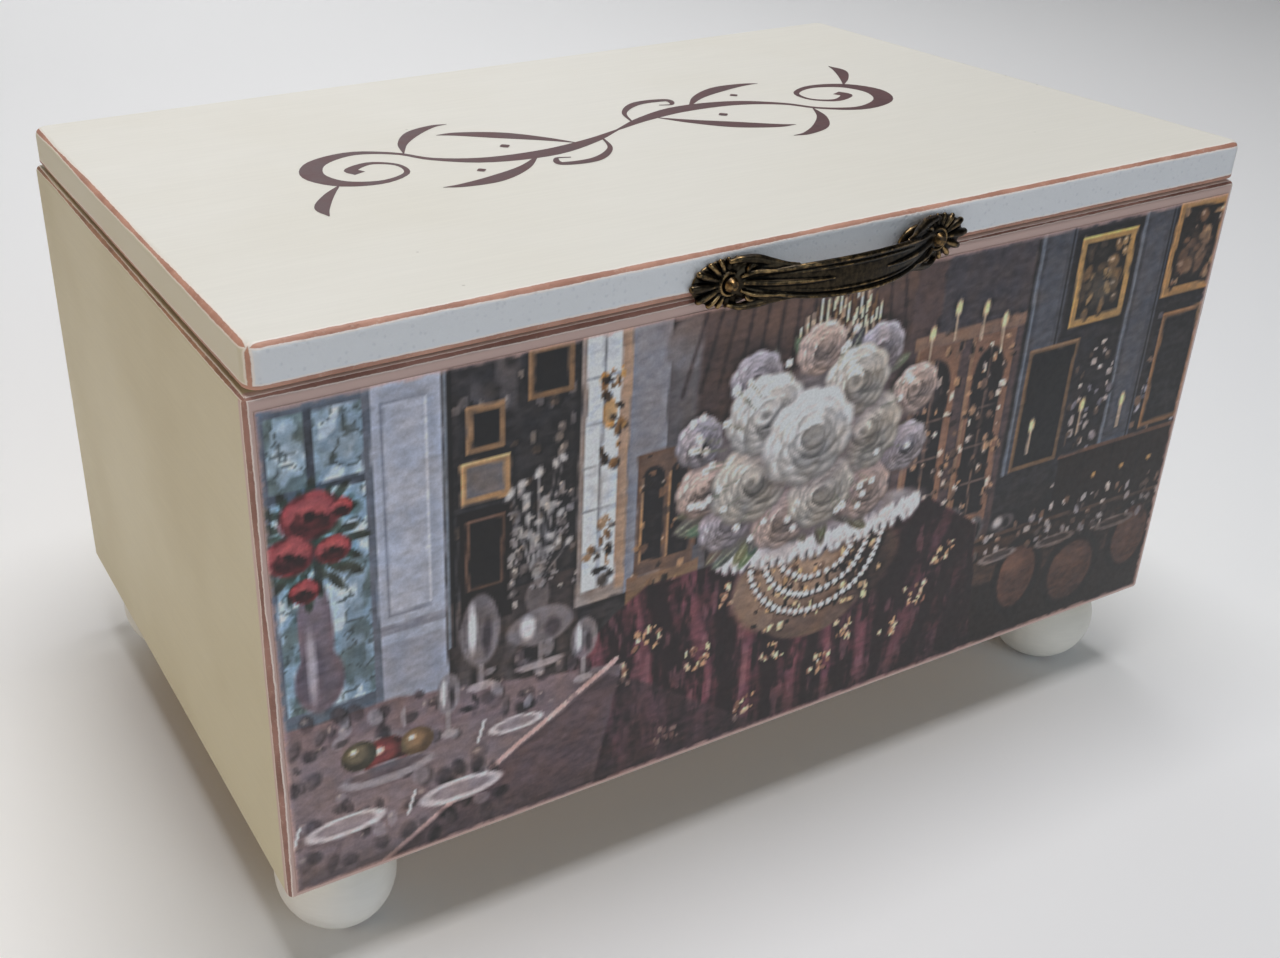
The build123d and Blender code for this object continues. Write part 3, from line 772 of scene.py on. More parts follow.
def shape(corners, soft=0.7):
    """Convex shape through corners given anticlockwise."""
    inside = np.full(X.shape, 1e9)
    for (x0, z0), (x1, z1) in zip(corners, corners[1:] + corners[:1]):
        length = hypot(x1 - x0, z1 - z0)
        away = ((x1 - x0) * (Z + waver_z - z0) - (z1 - z0) * (X + waver_x - x0)) / length
        inside = np.minimum(inside, away)
    return ease(inside, -soft / 2, soft / 2)


def toned_by(tint, share):
    """A lighter or darker tint."""
    return tuple(min(255, level * share) for level in tint)


def framed(x0, x1, z0, z1, rim, rim_tint, inside_tint):
    """A framed panel: rim, a light line inside it, then its middle."""
    lay(panel(x0, x1, z0, z1), rim_tint)
    lay(panel(x0 + rim, x1 - rim, z0 + rim, z1 - rim, 0.6), inside_tint)
    lay(line(x0 + 0.4, z1 - 0.4, x1 - 0.4, z1 - 0.4, 0.7), toned_by(rim_tint, 1.35), 0.7)
    lay(line(x0 + 0.4, z0 + 0.4, x0 + 0.4, z1 - 0.4, 0.7), toned_by(rim_tint, 1.25), 0.6)


def clutter(x0, x1, z0, z1, count, reach, tints, seed, strength=0.85):
    """Many small dabs in a region, each a dark side, a body and a glint, like crowded ornaments."""
    dab_seed = np.random.default_rng(seed)
    for number in range(count):
        x = x0 + (x1 - x0) * dab_seed.random()
        z = z0 + (z1 - z0) * dab_seed.random()
        rx = reach * (0.4 + 0.9 * dab_seed.random())
        rz = reach * (0.5 + 1.3 * dab_seed.random())
        lean = 60 * (dab_seed.random() - 0.5)
        tint = tints[int(len(tints) * dab_seed.random())]
        if number % 2:
            lay(oval(x + rx * 0.5, z - rz * 0.3, rx, rz, 0.3, lean), (30, 27, 30), 0.65 * strength)
        lay(oval(x, z, rx, rz, 0.25, lean), tint, strength)
        if number % 4 == 0:
            glint = oval(x - rx * 0.3, z + rz * 0.35, rx * 0.4, rz * 0.3, 0.6)
            lay(glint, (184, 172, 160), 0.6 * strength)


# the left window with its garden, and the flowers before it
lay(panel(0, 26, 50, 134), (80, 90, 104))
lay(panel(1.5, 10.5, 54, 111), (112, 133, 151))
lay(panel(12.5, 24, 54, 111), (107, 128, 147))
lay(panel(1.5, 10.5, 113.5, 131), (118, 138, 154))
lay(panel(12.5, 24, 113.5, 131), (110, 130, 148))
garden = field(5.0, 7.0)
panes = panel(1.5, 24, 54, 131)
lay(panes * ease(garden, 0.05, 0.5), (72, 88, 92), 0.7)
lay(panes * ease(-garden, 0.15, 0.6), (160, 174, 188), 0.75)
twigs = np.abs(field(7.0, 5.0))
lay(panes * (1 - ease(twigs, 0.03, 0.13)), (62, 74, 78), 0.55)
lay(panel(10.6, 12.4, 52, 132), (70, 80, 94))
lay(panel(0, 26, 111.2, 113.2), (72, 82, 96))
lay(panel(24, 26.5, 50, 134), (92, 100, 114))

# the pale wall, its mouldings, and the dark wall with its pictures
lay(panel(26, 43, 40, 134), (134, 141, 157))
lay(panel(28.5, 39, 74, 129, 0.7), (142, 148, 163), 0.8)
for x0, z0, x1, z1, width, tint in (
    (28.5, 74, 28.5, 129, 0.8, (112, 118, 134)),
    (39, 74, 39, 129, 0.8, (160, 165, 178)),
    (28.5, 74, 39, 74, 0.9, (110, 116, 132)),
    (28.5, 129, 39, 129, 0.8, (116, 122, 137)),
):
    lay(line(x0, z0, x1, z1, width), tint, 0.8)
lay(panel(26, 43, 68.5, 71), (116, 120, 134))
lay(panel(26, 43, 48, 66, 1.0), (124, 128, 142), 0.8)
lay(panel(43, 80, 40, 134), (60, 57, 61))
lay(panel(43, 80, 40, 72), (74, 62, 60), 0.7)
shine = field(6, 14)
lay(panel(43, 80, 40, 134) * ease(shine, 0.3, 0.9), (92, 88, 92), 0.45)
clutter(46, 78, 70, 132, 46, 1.2, ((104, 98, 98), (88, 72, 60), (122, 112, 104)), 3, 0.55)
lay(line(43.6, 60, 43.6, 134, 1.0), (104, 112, 124), 0.8)
lay(line(45.2, 60, 45.2, 134, 0.8), (40, 40, 48), 0.9)
framed(49, 59, 111, 123, 1.6, (104, 84, 66), (44, 44, 50))
framed(47.5, 60.5, 98, 109, 1.7, (128, 104, 80), (98, 92, 92))
framed(65, 77, 121, 134, 1.6, (98, 78, 60), (46, 44, 48))
lay(panel(46.5, 61, 64, 96), (48, 38, 38))
framed(48.5, 59, 74, 93.5, 1.0, (76, 58, 50), (40, 36, 40))
for step in range(26):
    start_x = 68 + 3.2 * sin(step * 2.4)
    end_x = start_x + 5.5 * sin(step * 1.7 + 0.6)
    end_z = 80 + 25 * ((step * 0.37) % 1)
    lay(line(68, 70, end_x, end_z, 0.45), (118, 116, 118), 0.5)
    lay(oval(end_x, end_z, 1.3, 0.9, 0.5, step * 40), (150, 148, 148), 0.75)
lay(oval(68, 67, 3.4, 5.0), (96, 88, 88), 0.8)
clutter(60, 79, 66, 98, 60, 0.8, ((128, 124, 126), (98, 92, 92), (148, 142, 138)), 11, 0.65)

# the narrow bright window, and the arch with the glass cabinet beyond it
lay(panel(79, 93, 60, 134), (120, 112, 110))
lay(panel(80.5, 90, 64, 134), (166, 171, 178))
for bar in (75, 87, 99, 111, 123):
    lay(line(80.5, bar, 90, bar, 0.6), (120, 122, 128), 0.85)
lay(line(85.2, 64, 85.2, 134, 0.7), (112, 114, 121), 0.9)
lay(panel(90, 93, 62, 134), (142, 120, 104), 0.9)
lay(oval(87, 113, 2.0, 4.2), (150, 116, 74), 0.8)
clutter(84.5, 91, 96, 124, 26, 1.0, ((156, 122, 78), (120, 90, 58), (92, 72, 52)), 12)
clutter(81, 90, 66, 84, 18, 1.1, ((122, 92, 62), (70, 62, 58)), 13, 0.7)
lay(panel(93, 104, 60, 134), (112, 112, 120))
lay(panel(104, 118, 58, 128), (86, 82, 86))
lay(oval(110, 126, 7.5, 7.0), (100, 98, 104))
lay(panel(96, 114, 64, 99), (96, 76, 66))
for door in (97.5, 105.8):
    lay(panel(door, door + 6.6, 68, 91), (58, 52, 58))
    lay(oval(door + 3.3, 91, 3.3, 4.0), (58, 52, 58))
    lay(line(door, 68, door, 92, 0.6), (138, 110, 84), 0.8)
lay(panel(94, 116, 56, 64), (112, 86, 66), 0.85)
clutter(96, 115, 58, 98, 40, 0.9, ((150, 118, 88), (112, 84, 64), (66, 56, 54)), 14, 0.7)

# the canopy and the lit lamp over the bouquet, then the right-hand room
lay(panel(113, 192, 84, 134, 3), (78, 62, 60))
lay(oval(150, 134, 44, 13, 0.3), (96, 74, 66), 0.8)
for fold in range(17):
    lay(line(114 + 4.7 * fold, 134, 108 + 5.4 * fold, 112, 1.1, 1.2), (58, 44, 46), 0.45)
for step in range(110):
    turn = step * golden_turn
    ring = 9.0 * sqrt(step / 110)
    x = 156 + 1.5 * ring * cos(turn)
    z = 121 + ring * sin(turn)
    lay(line(x, z - 1.3, x, z + 1.3, 0.7), (206, 188, 164) if step % 3 else (110, 84, 62), 0.75)
lay(panel(180, 222, 36, 134, 2), (84, 68, 68))
for cabinet in (183, 203):
    lay(panel(cabinet, cabinet + 16, 42, 108), (112, 84, 70))
    lay(panel(cabinet + 2.5, cabinet + 13.5, 50, 96), (54, 47, 52))
    lay(oval(cabinet + 8, 96, 5.5, 7.5), (54, 47, 52))
    lay(line(cabinet + 8, 50, cabinet + 8, 103, 0.7), (112, 88, 74), 0.7)
    lay(line(cabinet + 0.7, 42, cabinet + 0.7, 108, 0.9), (122, 98, 80), 0.65)
    for shelf in (61, 73, 85):
        lay(line(cabinet + 2.5, shelf, cabinet + 13.5, shelf, 0.6), (104, 86, 78), 0.6)
lay(panel(182, 222, 108, 112, 1.0), (118, 94, 80), 0.9)
shelf_tints = ((146, 116, 92), (104, 82, 70), (170, 158, 150), (70, 58, 58))
clutter(184, 220, 46, 108, 150, 1.0, shelf_tints, 15, 0.75)
clutter(190, 222, 112, 132, 40, 1.5, ((92, 84, 84), (120, 98, 74), (56, 52, 60)), 16, 0.6)
lay(panel(190, 222, 112, 134, 2), (70, 66, 74), 0.9)
lay(panel(222, 297, 34, 134, 2), (58, 56, 62))
for pilaster in (223, 262):
    lay(panel(pilaster, pilaster + 13, 60, 134), (70, 72, 81))
    lay(line(pilaster + 1, 60, pilaster + 1, 134, 0.9), (98, 104, 114), 0.7)
    lay(line(pilaster + 12, 60, pilaster + 12, 134, 0.9), (44, 46, 56), 0.8)
    lay(panel(pilaster + 3, pilaster + 10, 66, 128, 0.7), (78, 80, 89), 0.7)
framed(239, 260, 103, 130, 2.2, (132, 106, 70), (62, 56, 52))
framed(276, 297, 105, 134, 2.4, (126, 98, 66), (58, 50, 46))
clutter(242, 258, 106, 127, 34, 1.6, ((118, 92, 62), (84, 70, 56), (146, 118, 80)), 17, 0.7)
clutter(279, 295, 108, 132, 34, 1.6, ((112, 82, 60), (76, 60, 52), (136, 110, 84)), 18, 0.7)
clutter(246, 262, 44, 98, 60, 1.0, ((112, 108, 116), (84, 70, 62), (150, 142, 140)), 19, 0.7)
clutter(276, 296, 60, 100, 60, 1.0, ((96, 92, 98), (120, 96, 78), (150, 144, 148)), 20, 0.65)
lay(oval(249.5, 114, 6.5, 5.0, 0.4), (92, 84, 70), 0.35)
lay(oval(287, 117, 6.5, 6.0, 0.4), (90, 70, 58), 0.6)
framed(226, 245, 60, 99, 1.4, (88, 72, 58), (40, 42, 50))
framed(279, 296, 62, 100, 1.6, (98, 76, 58), (52, 52, 58))
lay(panel(247, 297, 38, 60, 1.4), (58, 42, 38))
lay(line(247, 60, 297, 60, 1.2), (92, 68, 56), 0.8)
for drawer in (258, 270, 282):
    lay(line(drawer, 40, drawer, 59, 0.7), (36, 26, 26), 0.8)
    lay(oval(drawer + 5.5, 50, 0.9, 0.9, 0.4), (146, 116, 74), 0.8)
lamp_flames = ((188, 112), (196, 118), (206, 116), (214, 111), (232, 74), (269, 74), (252, 76))
for x, z in lamp_flames:
    lay(oval(x, z, 1.0, 2.2, 0.5), (214, 186, 138), 0.8)
    lay(line(x, z - 9, x, z - 2, 1.0), (150, 134, 118), 0.7)

# the long table on the right, its chairs, plates and silver
lay(shape([(150, 0), (297, 0), (297, 37), (176, 41)], 1.6), (66, 48, 40))
lay(line(176, 41, 297, 37, 1.6), (96, 74, 62), 0.8)
lay(shape([(190, 24), (297, 18), (297, 35), (184, 39)], 1.6), (92, 68, 56), 0.75)
for x, z, reach in ((238, 17, 10), (262, 12, 12), (287, 18, 10)):
    lay(oval(x, z + 4, reach, 14, 0.12), (38, 27, 25))
    lay(oval(x, z + 4, reach - 2.2, 11.5, 0.12), (104, 70, 58))
    lay(oval(x - 2, z + 9, reach - 5.5, 4.0, 0.5), (140, 102, 84), 0.6)
    lay(oval(x - 0.5, z + 3, reach - 4.0, 8.0, 0.5), (122, 86, 70), 0.5)
    lay(line(x - reach + 1, z - 9, x - reach + 1.5, z + 2, 1.2), (60, 42, 36), 0.8)
table_tints = ((150, 146, 150), (96, 84, 80), (122, 96, 80), (180, 174, 172))
clutter(176, 297, 30, 44, 120, 1.1, table_tints, 21, 0.75)
silver = (
    (188, 46, 4.0, 6.0),
    (197, 44, 3.0, 4.4),
    (206, 47, 4.4, 7.0),
    (216, 44, 3.4, 4.4),
    (227, 43, 5.0, 3.0),
)
for x, z, rx, rz in silver:
    lay(oval(x, z, rx, rz, 0.2), (84, 78, 80))
    lay(oval(x - rx * 0.35, z + rz * 0.2, rx * 0.35, rz * 0.6, 0.5), (168, 164, 164), 0.85)
    lay(oval(x + rx * 0.4, z - rz * 0.1, rx * 0.2, rz * 0.5, 0.5), (42, 38, 42), 0.7)
for x, z, reach in ((205, 33, 8), (228, 31, 8), (252, 30, 9), (278, 29, 9)):
    lay(oval(x, z, reach, 2.0, 0.12), (124, 112, 108), 0.85)
    lay(oval(x, z + 0.2, reach * 0.7, 1.2, 0.15), (84, 70, 66), 0.8)

# the draped table: burgundy velvet folds with a lace edge
drape = shape([(70, 0), (222, 0), (216, 46), (196, 60), (100, 60), (78, 44)], 1.6)
lay(drape, (84, 48, 58))
folds = np.sin((X - 146) * (0.42 - 0.0022 * (Z - 30)) + 1.9 * field(26, 50))
lay(drape * ease(folds, 0.35, 1.0), (112, 66, 77), 0.8)
lay(drape * ease(-folds, 0.1, 0.85), (62, 36, 44), 0.8)
crush = field(3.0, 9.0)
lay(drape * ease(crush, 0.35, 0.9), (128, 90, 97), 0.4)
lay(drape * ease(-crush, 0.3, 0.9), (46, 28, 34), 0.45)
lay(drape * ease(X, 172, 216), (64, 40, 46), 0.6)
gold_thread = ((168, 132, 104), (128, 92, 76), (190, 164, 138))
for cluster in range(15):
    x = 84 + 8.6 * cluster
    z = 12 + 5.5 * sin(cluster * 1.7) + 16 * (cluster % 3)
    clutter(x - 4, x + 4, z - 3, z + 4, 13, 0.8, gold_thread, 30 + cluster, 0.75)

# the urn, its pearl swags, and the lace cloth under the flowers
urn_x = 157
lay(oval(urn_x, 47, 29, 18, 0.08), (110, 90, 78))
lay(oval(urn_x, 33, 15, 7, 0.1), (96, 76, 66))
lay(oval(149, 50, 16, 13, 0.6), (152, 130, 112), 0.55)
lay(oval(178, 44, 10, 14, 0.6), (58, 42, 40), 0.7)
urn_tints = ((164, 136, 104), (104, 82, 70), (66, 50, 48), (190, 166, 134))
clutter(136, 180, 32, 56, 110, 1.0, urn_tints, 22, 0.75)
for swag_reach, swag_drop in ((13, 11), (18, 16.5), (23, 22)):
    pearls = int(pi * (swag_reach + swag_drop) / 2 / 2.3)
    for step in range(pearls):
        turn = pi + pi * (step + 0.5) / pearls
        x = urn_x + swag_reach * cos(turn) + 0.5 * sin(5 * turn)
        z = 57 + swag_drop * sin(turn)
        lay(oval(x + 0.35, z - 0.4, 1.25, 1.25, 0.25), (50, 36, 38), 0.8)
        lay(oval(x, z, 1.0, 1.0, 0.3), (204, 188, 180), 0.95)
        lay(oval(x - 0.25, z + 0.3, 0.45, 0.45, 0.6), (240, 232, 228), 0.8)
lay(oval(urn_x, 62, 35, 6.5, 0.15), (134, 128, 132))
for step in range(64):
    x = 123 + 1.08 * step
    z = 60.5 - 4.0 * sin(pi * (x - 122) / 70) + 1.6 * sin(step * 2.1)
    lean = 25 * sin(step * 1.3)
    lay(oval(x + 0.5, z - 0.6, 1.5, 3.0, 0.3, lean), (92, 88, 94), 0.6)
    lay(oval(x, z, 1.2, 2.7, 0.35, lean), (188, 184, 186), 0.85)

# the bouquet: pale full blossoms over leaves
bouquet_x = 148
leaf_seed = np.random.default_rng(7)
for step in range(90):
    turn = leaf_seed.random() * 2 * pi
    ring = 24 + 13 * leaf_seed.random()
    x = bouquet_x + ring * 1.02 * cos(turn)
    z = 86 + ring * 0.86 * sin(turn)
    if z < 60:
        continue
    red, green, blue = leaf_seed.random(), leaf_seed.random(), leaf_seed.random()
    leaf_tint = (66 + 30 * red, 74 + 26 * green, 66 + 20 * blue)
    lean = np.degrees(turn) + 25 * sin(step)
    lay(oval(x, z, 5.0, 1.9, 0.25, lean), leaf_tint, 0.95)
    lay(oval(x, z, 4.4, 0.35, 0.6, lean), (128, 134, 118), 0.6)
lay(oval(bouquet_x, 86, 30, 25, 0.1), (104, 98, 100))


def blossom(x, z, reach, light, turn):
    """A full rose-like flower: five rings of overlapping petals, shaded to the lower right."""
    shadow = oval(x + reach * 0.12, z - reach * 0.14, reach * 1.08, reach * 1.04, 0.3)
    lay(shadow, (96, 86, 90), 0.6)
    for ring, count in ((1.0, 9), (0.78, 8), (0.56, 6), (0.36, 5), (0.18, 3)):
        for petal in range(count):
            angle = turn + petal * 2 * pi / count + ring * 5
            petal_x = x + reach * ring * 0.62 * cos(angle)
            petal_z = z + reach * ring * 0.62 * sin(angle)
            lit = 0.80 + 0.19 * cos(angle - 2.2) - 0.14 * (1 - ring)
            lit += 0.06 * sin(petal * 7.3 + turn)
            size = reach * (0.24 + 0.20 * ring)
            petal_edge = oval(petal_x, petal_z, size * 1.06, size * 0.94, 0.14)
            lay(petal_edge, toned_by(light, lit * 0.72), 0.8)
            petal_x += 0.1 * size
            petal_z += 0.12 * size
            lay(oval(petal_x, petal_z, size * 0.90, size * 0.78, 0.28), toned_by(light, lit), 0.95)
    lay(oval(x, z, reach * 0.13, reach * 0.11, 0.5), toned_by(light, 0.52), 0.8)


ivory = (212, 205, 198)
white = (226, 224, 225)
blush = (206, 184, 178)
lilac = (180, 174, 186)
posy = (
    (124, 72, 8.0, lilac), (170, 70, 9.0, blush), (142, 68, 9.0, blush), (183, 80, 7.5, lilac),
    (116, 84, 8.0, blush), (114, 98, 7.0, lilac), (184, 97, 7.5, blush), (130, 112, 7.5, lilac),
    (170, 112, 7.5, lilac), (150, 116, 7.5, blush), (131, 82, 12.0, ivory),
    (168, 88, 12.0, ivory), (134, 101, 11.5, white), (163, 104, 10.5, ivory),
    (155, 73, 10.5, ivory), (149, 91, 14.0, white),
)
for step, (x, z, reach, light) in enumerate(posy):
    blossom(x, z, reach, light, 0.9 * step)
for step in range(46):
    turn = leaf_seed.random() * 2 * pi
    ring = 26 + 12 * leaf_seed.random()
    x = bouquet_x + ring * 1.05 * cos(turn)
    z = 90 + ring * 0.85 * sin(turn)
    if z > 64:
        lay(oval(x, z, 1.1, 1.1, 0.4), (216, 206, 204), 0.85)
        stalk_x = bouquet_x + 0.8 * (x - bouquet_x)
        lay(line(x, z, stalk_x, 88 + 0.8 * (z - 88), 0.5), (104, 106, 94), 0.5)

# the near table on the left with glass, fruit and plates, and the vase of red flowers
lay(shape([(0, 0), (86, 0), (94, 38), (30, 50), (0, 50)], 1.4), (104, 90, 95))
lay(shape([(0, 0), (62, 0), (84, 28), (20, 42), (0, 42)], 1.4), (112, 100, 104), 0.7)
lay(line(20, -2, 92, 40, 1.6), (168, 142, 140), 0.8)
lay(shape([(24, 0), (150, 0), (100, 30), (90, 37)], 1.4), (76, 58, 64), 0.65)
far_tints = ((138, 136, 144), (98, 88, 94), (64, 54, 60), (84, 72, 78))
clutter(0, 84, 32, 52, 84, 1.7, far_tints, 23, 0.5)
near_tints = ((132, 126, 134), (92, 80, 86), (58, 48, 54), (78, 68, 72))
clutter(0, 60, 3, 27, 46, 2.0, near_tints, 24, 0.45)
lay(oval(10, 74, 4.4, 16, 0.12), (104, 96, 108))
lay(oval(10, 62, 6.2, 9, 0.12), (94, 86, 98))
lay(oval(8.4, 66, 1.2, 9, 0.6), (160, 156, 166), 0.7)
for step in range(40):
    turn = step * golden_turn
    ring = 15 * sqrt((step + 1) / 40)
    x = 9 + ring * cos(turn) * 0.9
    z = 99 + ring * sin(turn)
    lay(oval(x, z, 3.2, 1.2, 0.3, np.degrees(turn)), (58, 66, 60), 0.85)
red_flowers = ((10.5, 106, 7.4), (5.2, 97, 6.2), (15.5, 96, 4.4), (8, 87, 3.8), (18, 106, 3.0))
for x, z, reach in red_flowers:
    lay(oval(x, z, reach, reach * 0.8, 0.14), (112, 48, 54))
    for petal in range(12):
        turn = petal * 2.4
        petal_x = x + reach * (0.25 + 0.05 * petal) * cos(turn)
        petal_z = z + reach * (0.20 + 0.04 * petal) * sin(turn)
        petal_tint = (150, 74, 78) if petal_z > z else (92, 38, 44)
        lean = np.degrees(turn) + 90
        lay(oval(petal_x, petal_z, reach * 0.34, reach * 0.22, 0.3, lean), petal_tint, 0.7)
    lay(oval(x, z, reach * 0.2, reach * 0.16, 0.5), (66, 26, 32), 0.8)
glasses = ((52, 62, 5.5, 10.5), (69, 58, 9.5, 5.5), (43, 46, 3.2, 6.0), (82, 50, 4.0, 6.5))
for x, z, rx, rz in glasses:
    lay(oval(x, z, rx, rz, 0.12), (112, 108, 114), 0.75)
    lay(oval(x - rx * 0.4, z + rz * 0.1, rx * 0.22, rz * 0.6, 0.5), (190, 190, 196), 0.8)
    lay(oval(x + rx * 0.35, z - rz * 0.2, rx * 0.25, rz * 0.5, 0.5), (62, 54, 62), 0.7)
    lay(line(x, z - rz - 6, x, z - rz, 1.5), (120, 114, 118), 0.7)
    lay(oval(x, z - rz - 6, rx * 0.7, 1.3, 0.2), (140, 132, 136), 0.75)
fruit = (
    (25.5, 33.5, 6.2, (132, 66, 64)),
    (34, 35, 4.6, (128, 104, 78)),
    (18.5, 36, 4.6, (104, 96, 78)),
)
for x, z, reach, tint in fruit:
    lay(oval(x, z, reach, reach * 0.92, 0.1), toned_by(tint, 0.72))
    lay(oval(x - reach * 0.2, z + reach * 0.22, reach * 0.62, reach * 0.55, 0.5), tint, 0.9)
    glint = oval(x - reach * 0.3, z + reach * 0.35, reach * 0.2, reach * 0.16, 0.6)
    lay(glint, (226, 210, 180), 0.75)
lay(oval(26, 28.5, 13, 3.2, 0.12), (128, 122, 128), 0.9)
lay(oval(26, 29.5, 11, 1.8, 0.15), (84, 72, 78), 0.7)
for x, z, reach in ((14, 16, 11), (46, 15, 12), (62, 30, 8)):
    lay(oval(x, z, reach, reach * 0.3, 0.1), (166, 160, 164), 0.85)
    lay(oval(x, z + 0.2, reach * 0.72, reach * 0.19, 0.12), (122, 112, 118), 0.85)
    lay(line(x - reach - 3, z - 2, x - reach - 1, z + 4, 0.8), (190, 188, 192), 0.7)

# the print darkens at the foot and the brushed varnish breaks the tones up
lay(1 - ease(Z, 0, 13), (62, 54, 56), 0.45)
lay(ease(X, 196, 250) * (1 - ease(Z, 28, 62)), (36, 26, 24), 0.38)
short_strokes = field(2.4, 1.2)
long_strokes = field(26, 7)
canvas *= (1 + 0.055 * short_strokes + 0.04 * long_strokes)[..., None]
canvas += (3.0 * field(5, 5))[..., None] * np.array((1.0, 0.2, -0.8))
blurred = canvas.copy()
for shift in (1, 2):
    for axis in (0, 1):
        blurred = (blurred + np.roll(blurred, shift, axis) + np.roll(blurred, -shift, axis)) / 3
canvas += 0.55 * (canvas - blurred)
worn_edge = np.minimum(np.minimum(X, picture_width_mm - X), np.minimum(Z, picture_height_mm - Z))
lay(1 - ease(worn_edge + 0.35 * short_strokes, 0.0, 1.1), (170, 140, 134), 0.75)
np.clip(canvas, 4, 238, out=canvas)
linear_canvas = linear_light(canvas)
brightness = linear_canvas @ eye_weights
without_haze = np.clip((brightness - varnish_haze) / brightness, 0.12, 1)[..., None]
paper_tone = np.clip(linear_canvas * without_haze * print_gain * aged_varnish, 0.003, 0.9)
sheet_front_y = picture_low[1]
sheet_back_y = picture_high[1]
grid = np.empty((X.size, 3))
grid[:, 0] = picture_low[0] + X.ravel() * MM
grid[:, 1] = sheet_front_y
grid[:, 2] = picture_low[2] + Z.ravel() * MM
rows = np.arange(picture_rows - 1)[:, None] * picture_columns
corner = (rows + np.arange(picture_columns - 1)[None, :]).ravel()
above = corner + picture_columns
quads = np.stack((corner, corner + 1, above + 1, above), axis=1)
bottom_rim = np.arange(picture_columns)
right_rim = np.arange(1, picture_rows) * picture_columns + picture_columns - 1
top_rim = (picture_rows - 1) * picture_columns + np.arange(picture_columns - 2, -1, -1)
left_rim = np.arange(picture_rows - 2, 0, -1) * picture_columns
rim = np.concatenate((bottom_rim, right_rim, top_rim, left_rim))
back_points = grid[rim].copy()
back_points[:, 1] = sheet_back_y
back_start = len(grid)
back_index = back_start + np.arange(len(rim))
skirt = np.stack((np.roll(rim, -1), rim, back_index, np.roll(back_index, -1)), axis=1)
sheet_vertices = np.vstack((grid, back_points))
sheet_faces = np.vstack((quads, skirt)).tolist() + [back_index[::-1].tolist()]
picture_sheet = mesh_piece(
    "varnished_still_life_sheet", sheet_vertices.tolist(), sheet_faces, smooth=False
)
tones = np.ones((len(sheet_vertices), 4), dtype=np.float32)
tones[:back_start, :3] = paper_tone.reshape(-1, 3)
tones[back_start:, :3] = (0.45, 0.38, 0.33)
print_layer = picture_sheet.data.color_attributes.new("print", "FLOAT_COLOR", "POINT")
print_layer.data.foreach_set("color", tones.ravel())

varnish_material, tree, output = new_material("varnished_print")
printed = add(tree, "ShaderNodeVertexColor", layer_name="print").outputs["Color"]
dabs = noise(tree, 480.0, 4.0, 0.6)
sweeps = noise(tree, 260.0, 3.0, 0.6, stretch=(5.0, 1.0, 1.0))
speck = noise(tree, 1300.0, 2.0, 0.6)
fine_grain = span(tree, speck, 0.3, 0.7, 0.93, 1.06)
toned = mix(tree, 1.0, printed, grey(tree, fine_grain), "MULTIPLY")
relief = math(tree, "ADD", product(tree, sweeps, 0.7), product(tree, dabs, 0.5))
bump = bumped(tree, relief, 0.16, 0.0002)
satin = span(tree, dabs, 0.3, 0.7, 0.38, 0.5)
surface(tree, output, toned, satin, bump, coat_weight=0.12, coat_roughness=0.25)
picture_sheet.data.materials.append(varnish_material)
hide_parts("front_picture")
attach(picture_sheet, "case")


# ---- Cast pull -------------------------------------------------------------------------------
# A stock pull cast in one piece and bronzed nearly black: two fluted fans round the pins, leaf
# scrolls, and an arched strap with ribbed edges. Handling has rubbed its high spots to brass.
pull_low, pull_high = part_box("lid_handle")
pull_middle_x = (pull_low[0] + pull_high[0]) / 2
pull_back_y = pull_high[1]
pull_centre_z = (pull_low[2] + pull_high[2]) / 2
pull_projection = pull_high[1] - pull_low[1]
hole_spacing = 64.0 * MM
fan_half_height = (pull_high[2] - pull_low[2]) / 2
fan_reach = (pull_high[0] - pull_low[0] - hole_spacing) / 2
pull_form = bmesh.new()


def pull_point(x, out, z):
    """A place on the pull: along it from its middle, out from the lid, and up, in metres."""
    return Vector((pull_middle_x + x, pull_back_y - out, pull_centre_z + z))


def skin_over(rings):
    """Faces that join rings of the pull's points into one closed form."""
    sides = len(rings[0])
    for lower, higher in zip(rings, rings[1:]):
        for side in range(sides):
            following = (side + 1) % sides
            pull_form.faces.new((lower[side], lower[following], higher[following], higher[side]))
    pull_form.faces.new(rings[0][::-1])
    pull_form.faces.new(rings[-1])


def tube(points, sides=10):
    """Closed round tube through (x, out, z, radius) points in millimetres, with domed ends."""
    path = smooth_path(points, 8 * len(points))
    centres = [pull_point(x * MM, out * MM, z * MM) for x, out, z, _ in path]
    rings = []
    for index, centre in enumerate(centres):
        before = centres[max(index - 1, 0)]
        after = centres[min(index + 1, len(centres) - 1)]
        ahead = (after - before).normalized()
        beside = ahead.cross(Vector((0, 1, 0.01))).normalized()
        over = beside.cross(ahead)
        reach = max(path[index][3], 0.15) * MM
        ring = []
        for side in range(sides):
            turn = 2 * pi * side / sides
            away = beside * cos(turn) + over * sin(turn)
            ring.append(pull_form.verts.new(centre + away * reach))
        rings.append(ring)
    skin_over(rings)


def knob_of_metal(x, out, z, reach_x, reach_out, reach_z, lean=0.0):
    """An ellipsoid in millimetres, leaning in the lid edge's plane by an angle in degrees."""
    stretch = Matrix.Diagonal((reach_x * MM, reach_out * MM, reach_z * MM, 1))
    turn = Matrix.Rotation(radians(-lean), 4, "Y")
    place = Matrix.Translation(pull_point(x * MM, out * MM, z * MM))
    bmesh.ops.create_icosphere(pull_form, subdivisions=3, radius=1.0, matrix=place @ turn @ stretch)


def strap_out(x):
    """How far the strap's middle stands out from the lid at x, both in millimetres."""
    spot = min(1.0, abs(x) / strap_half)
    return strap_crown - (strap_crown - 2.4) * spot**2.2


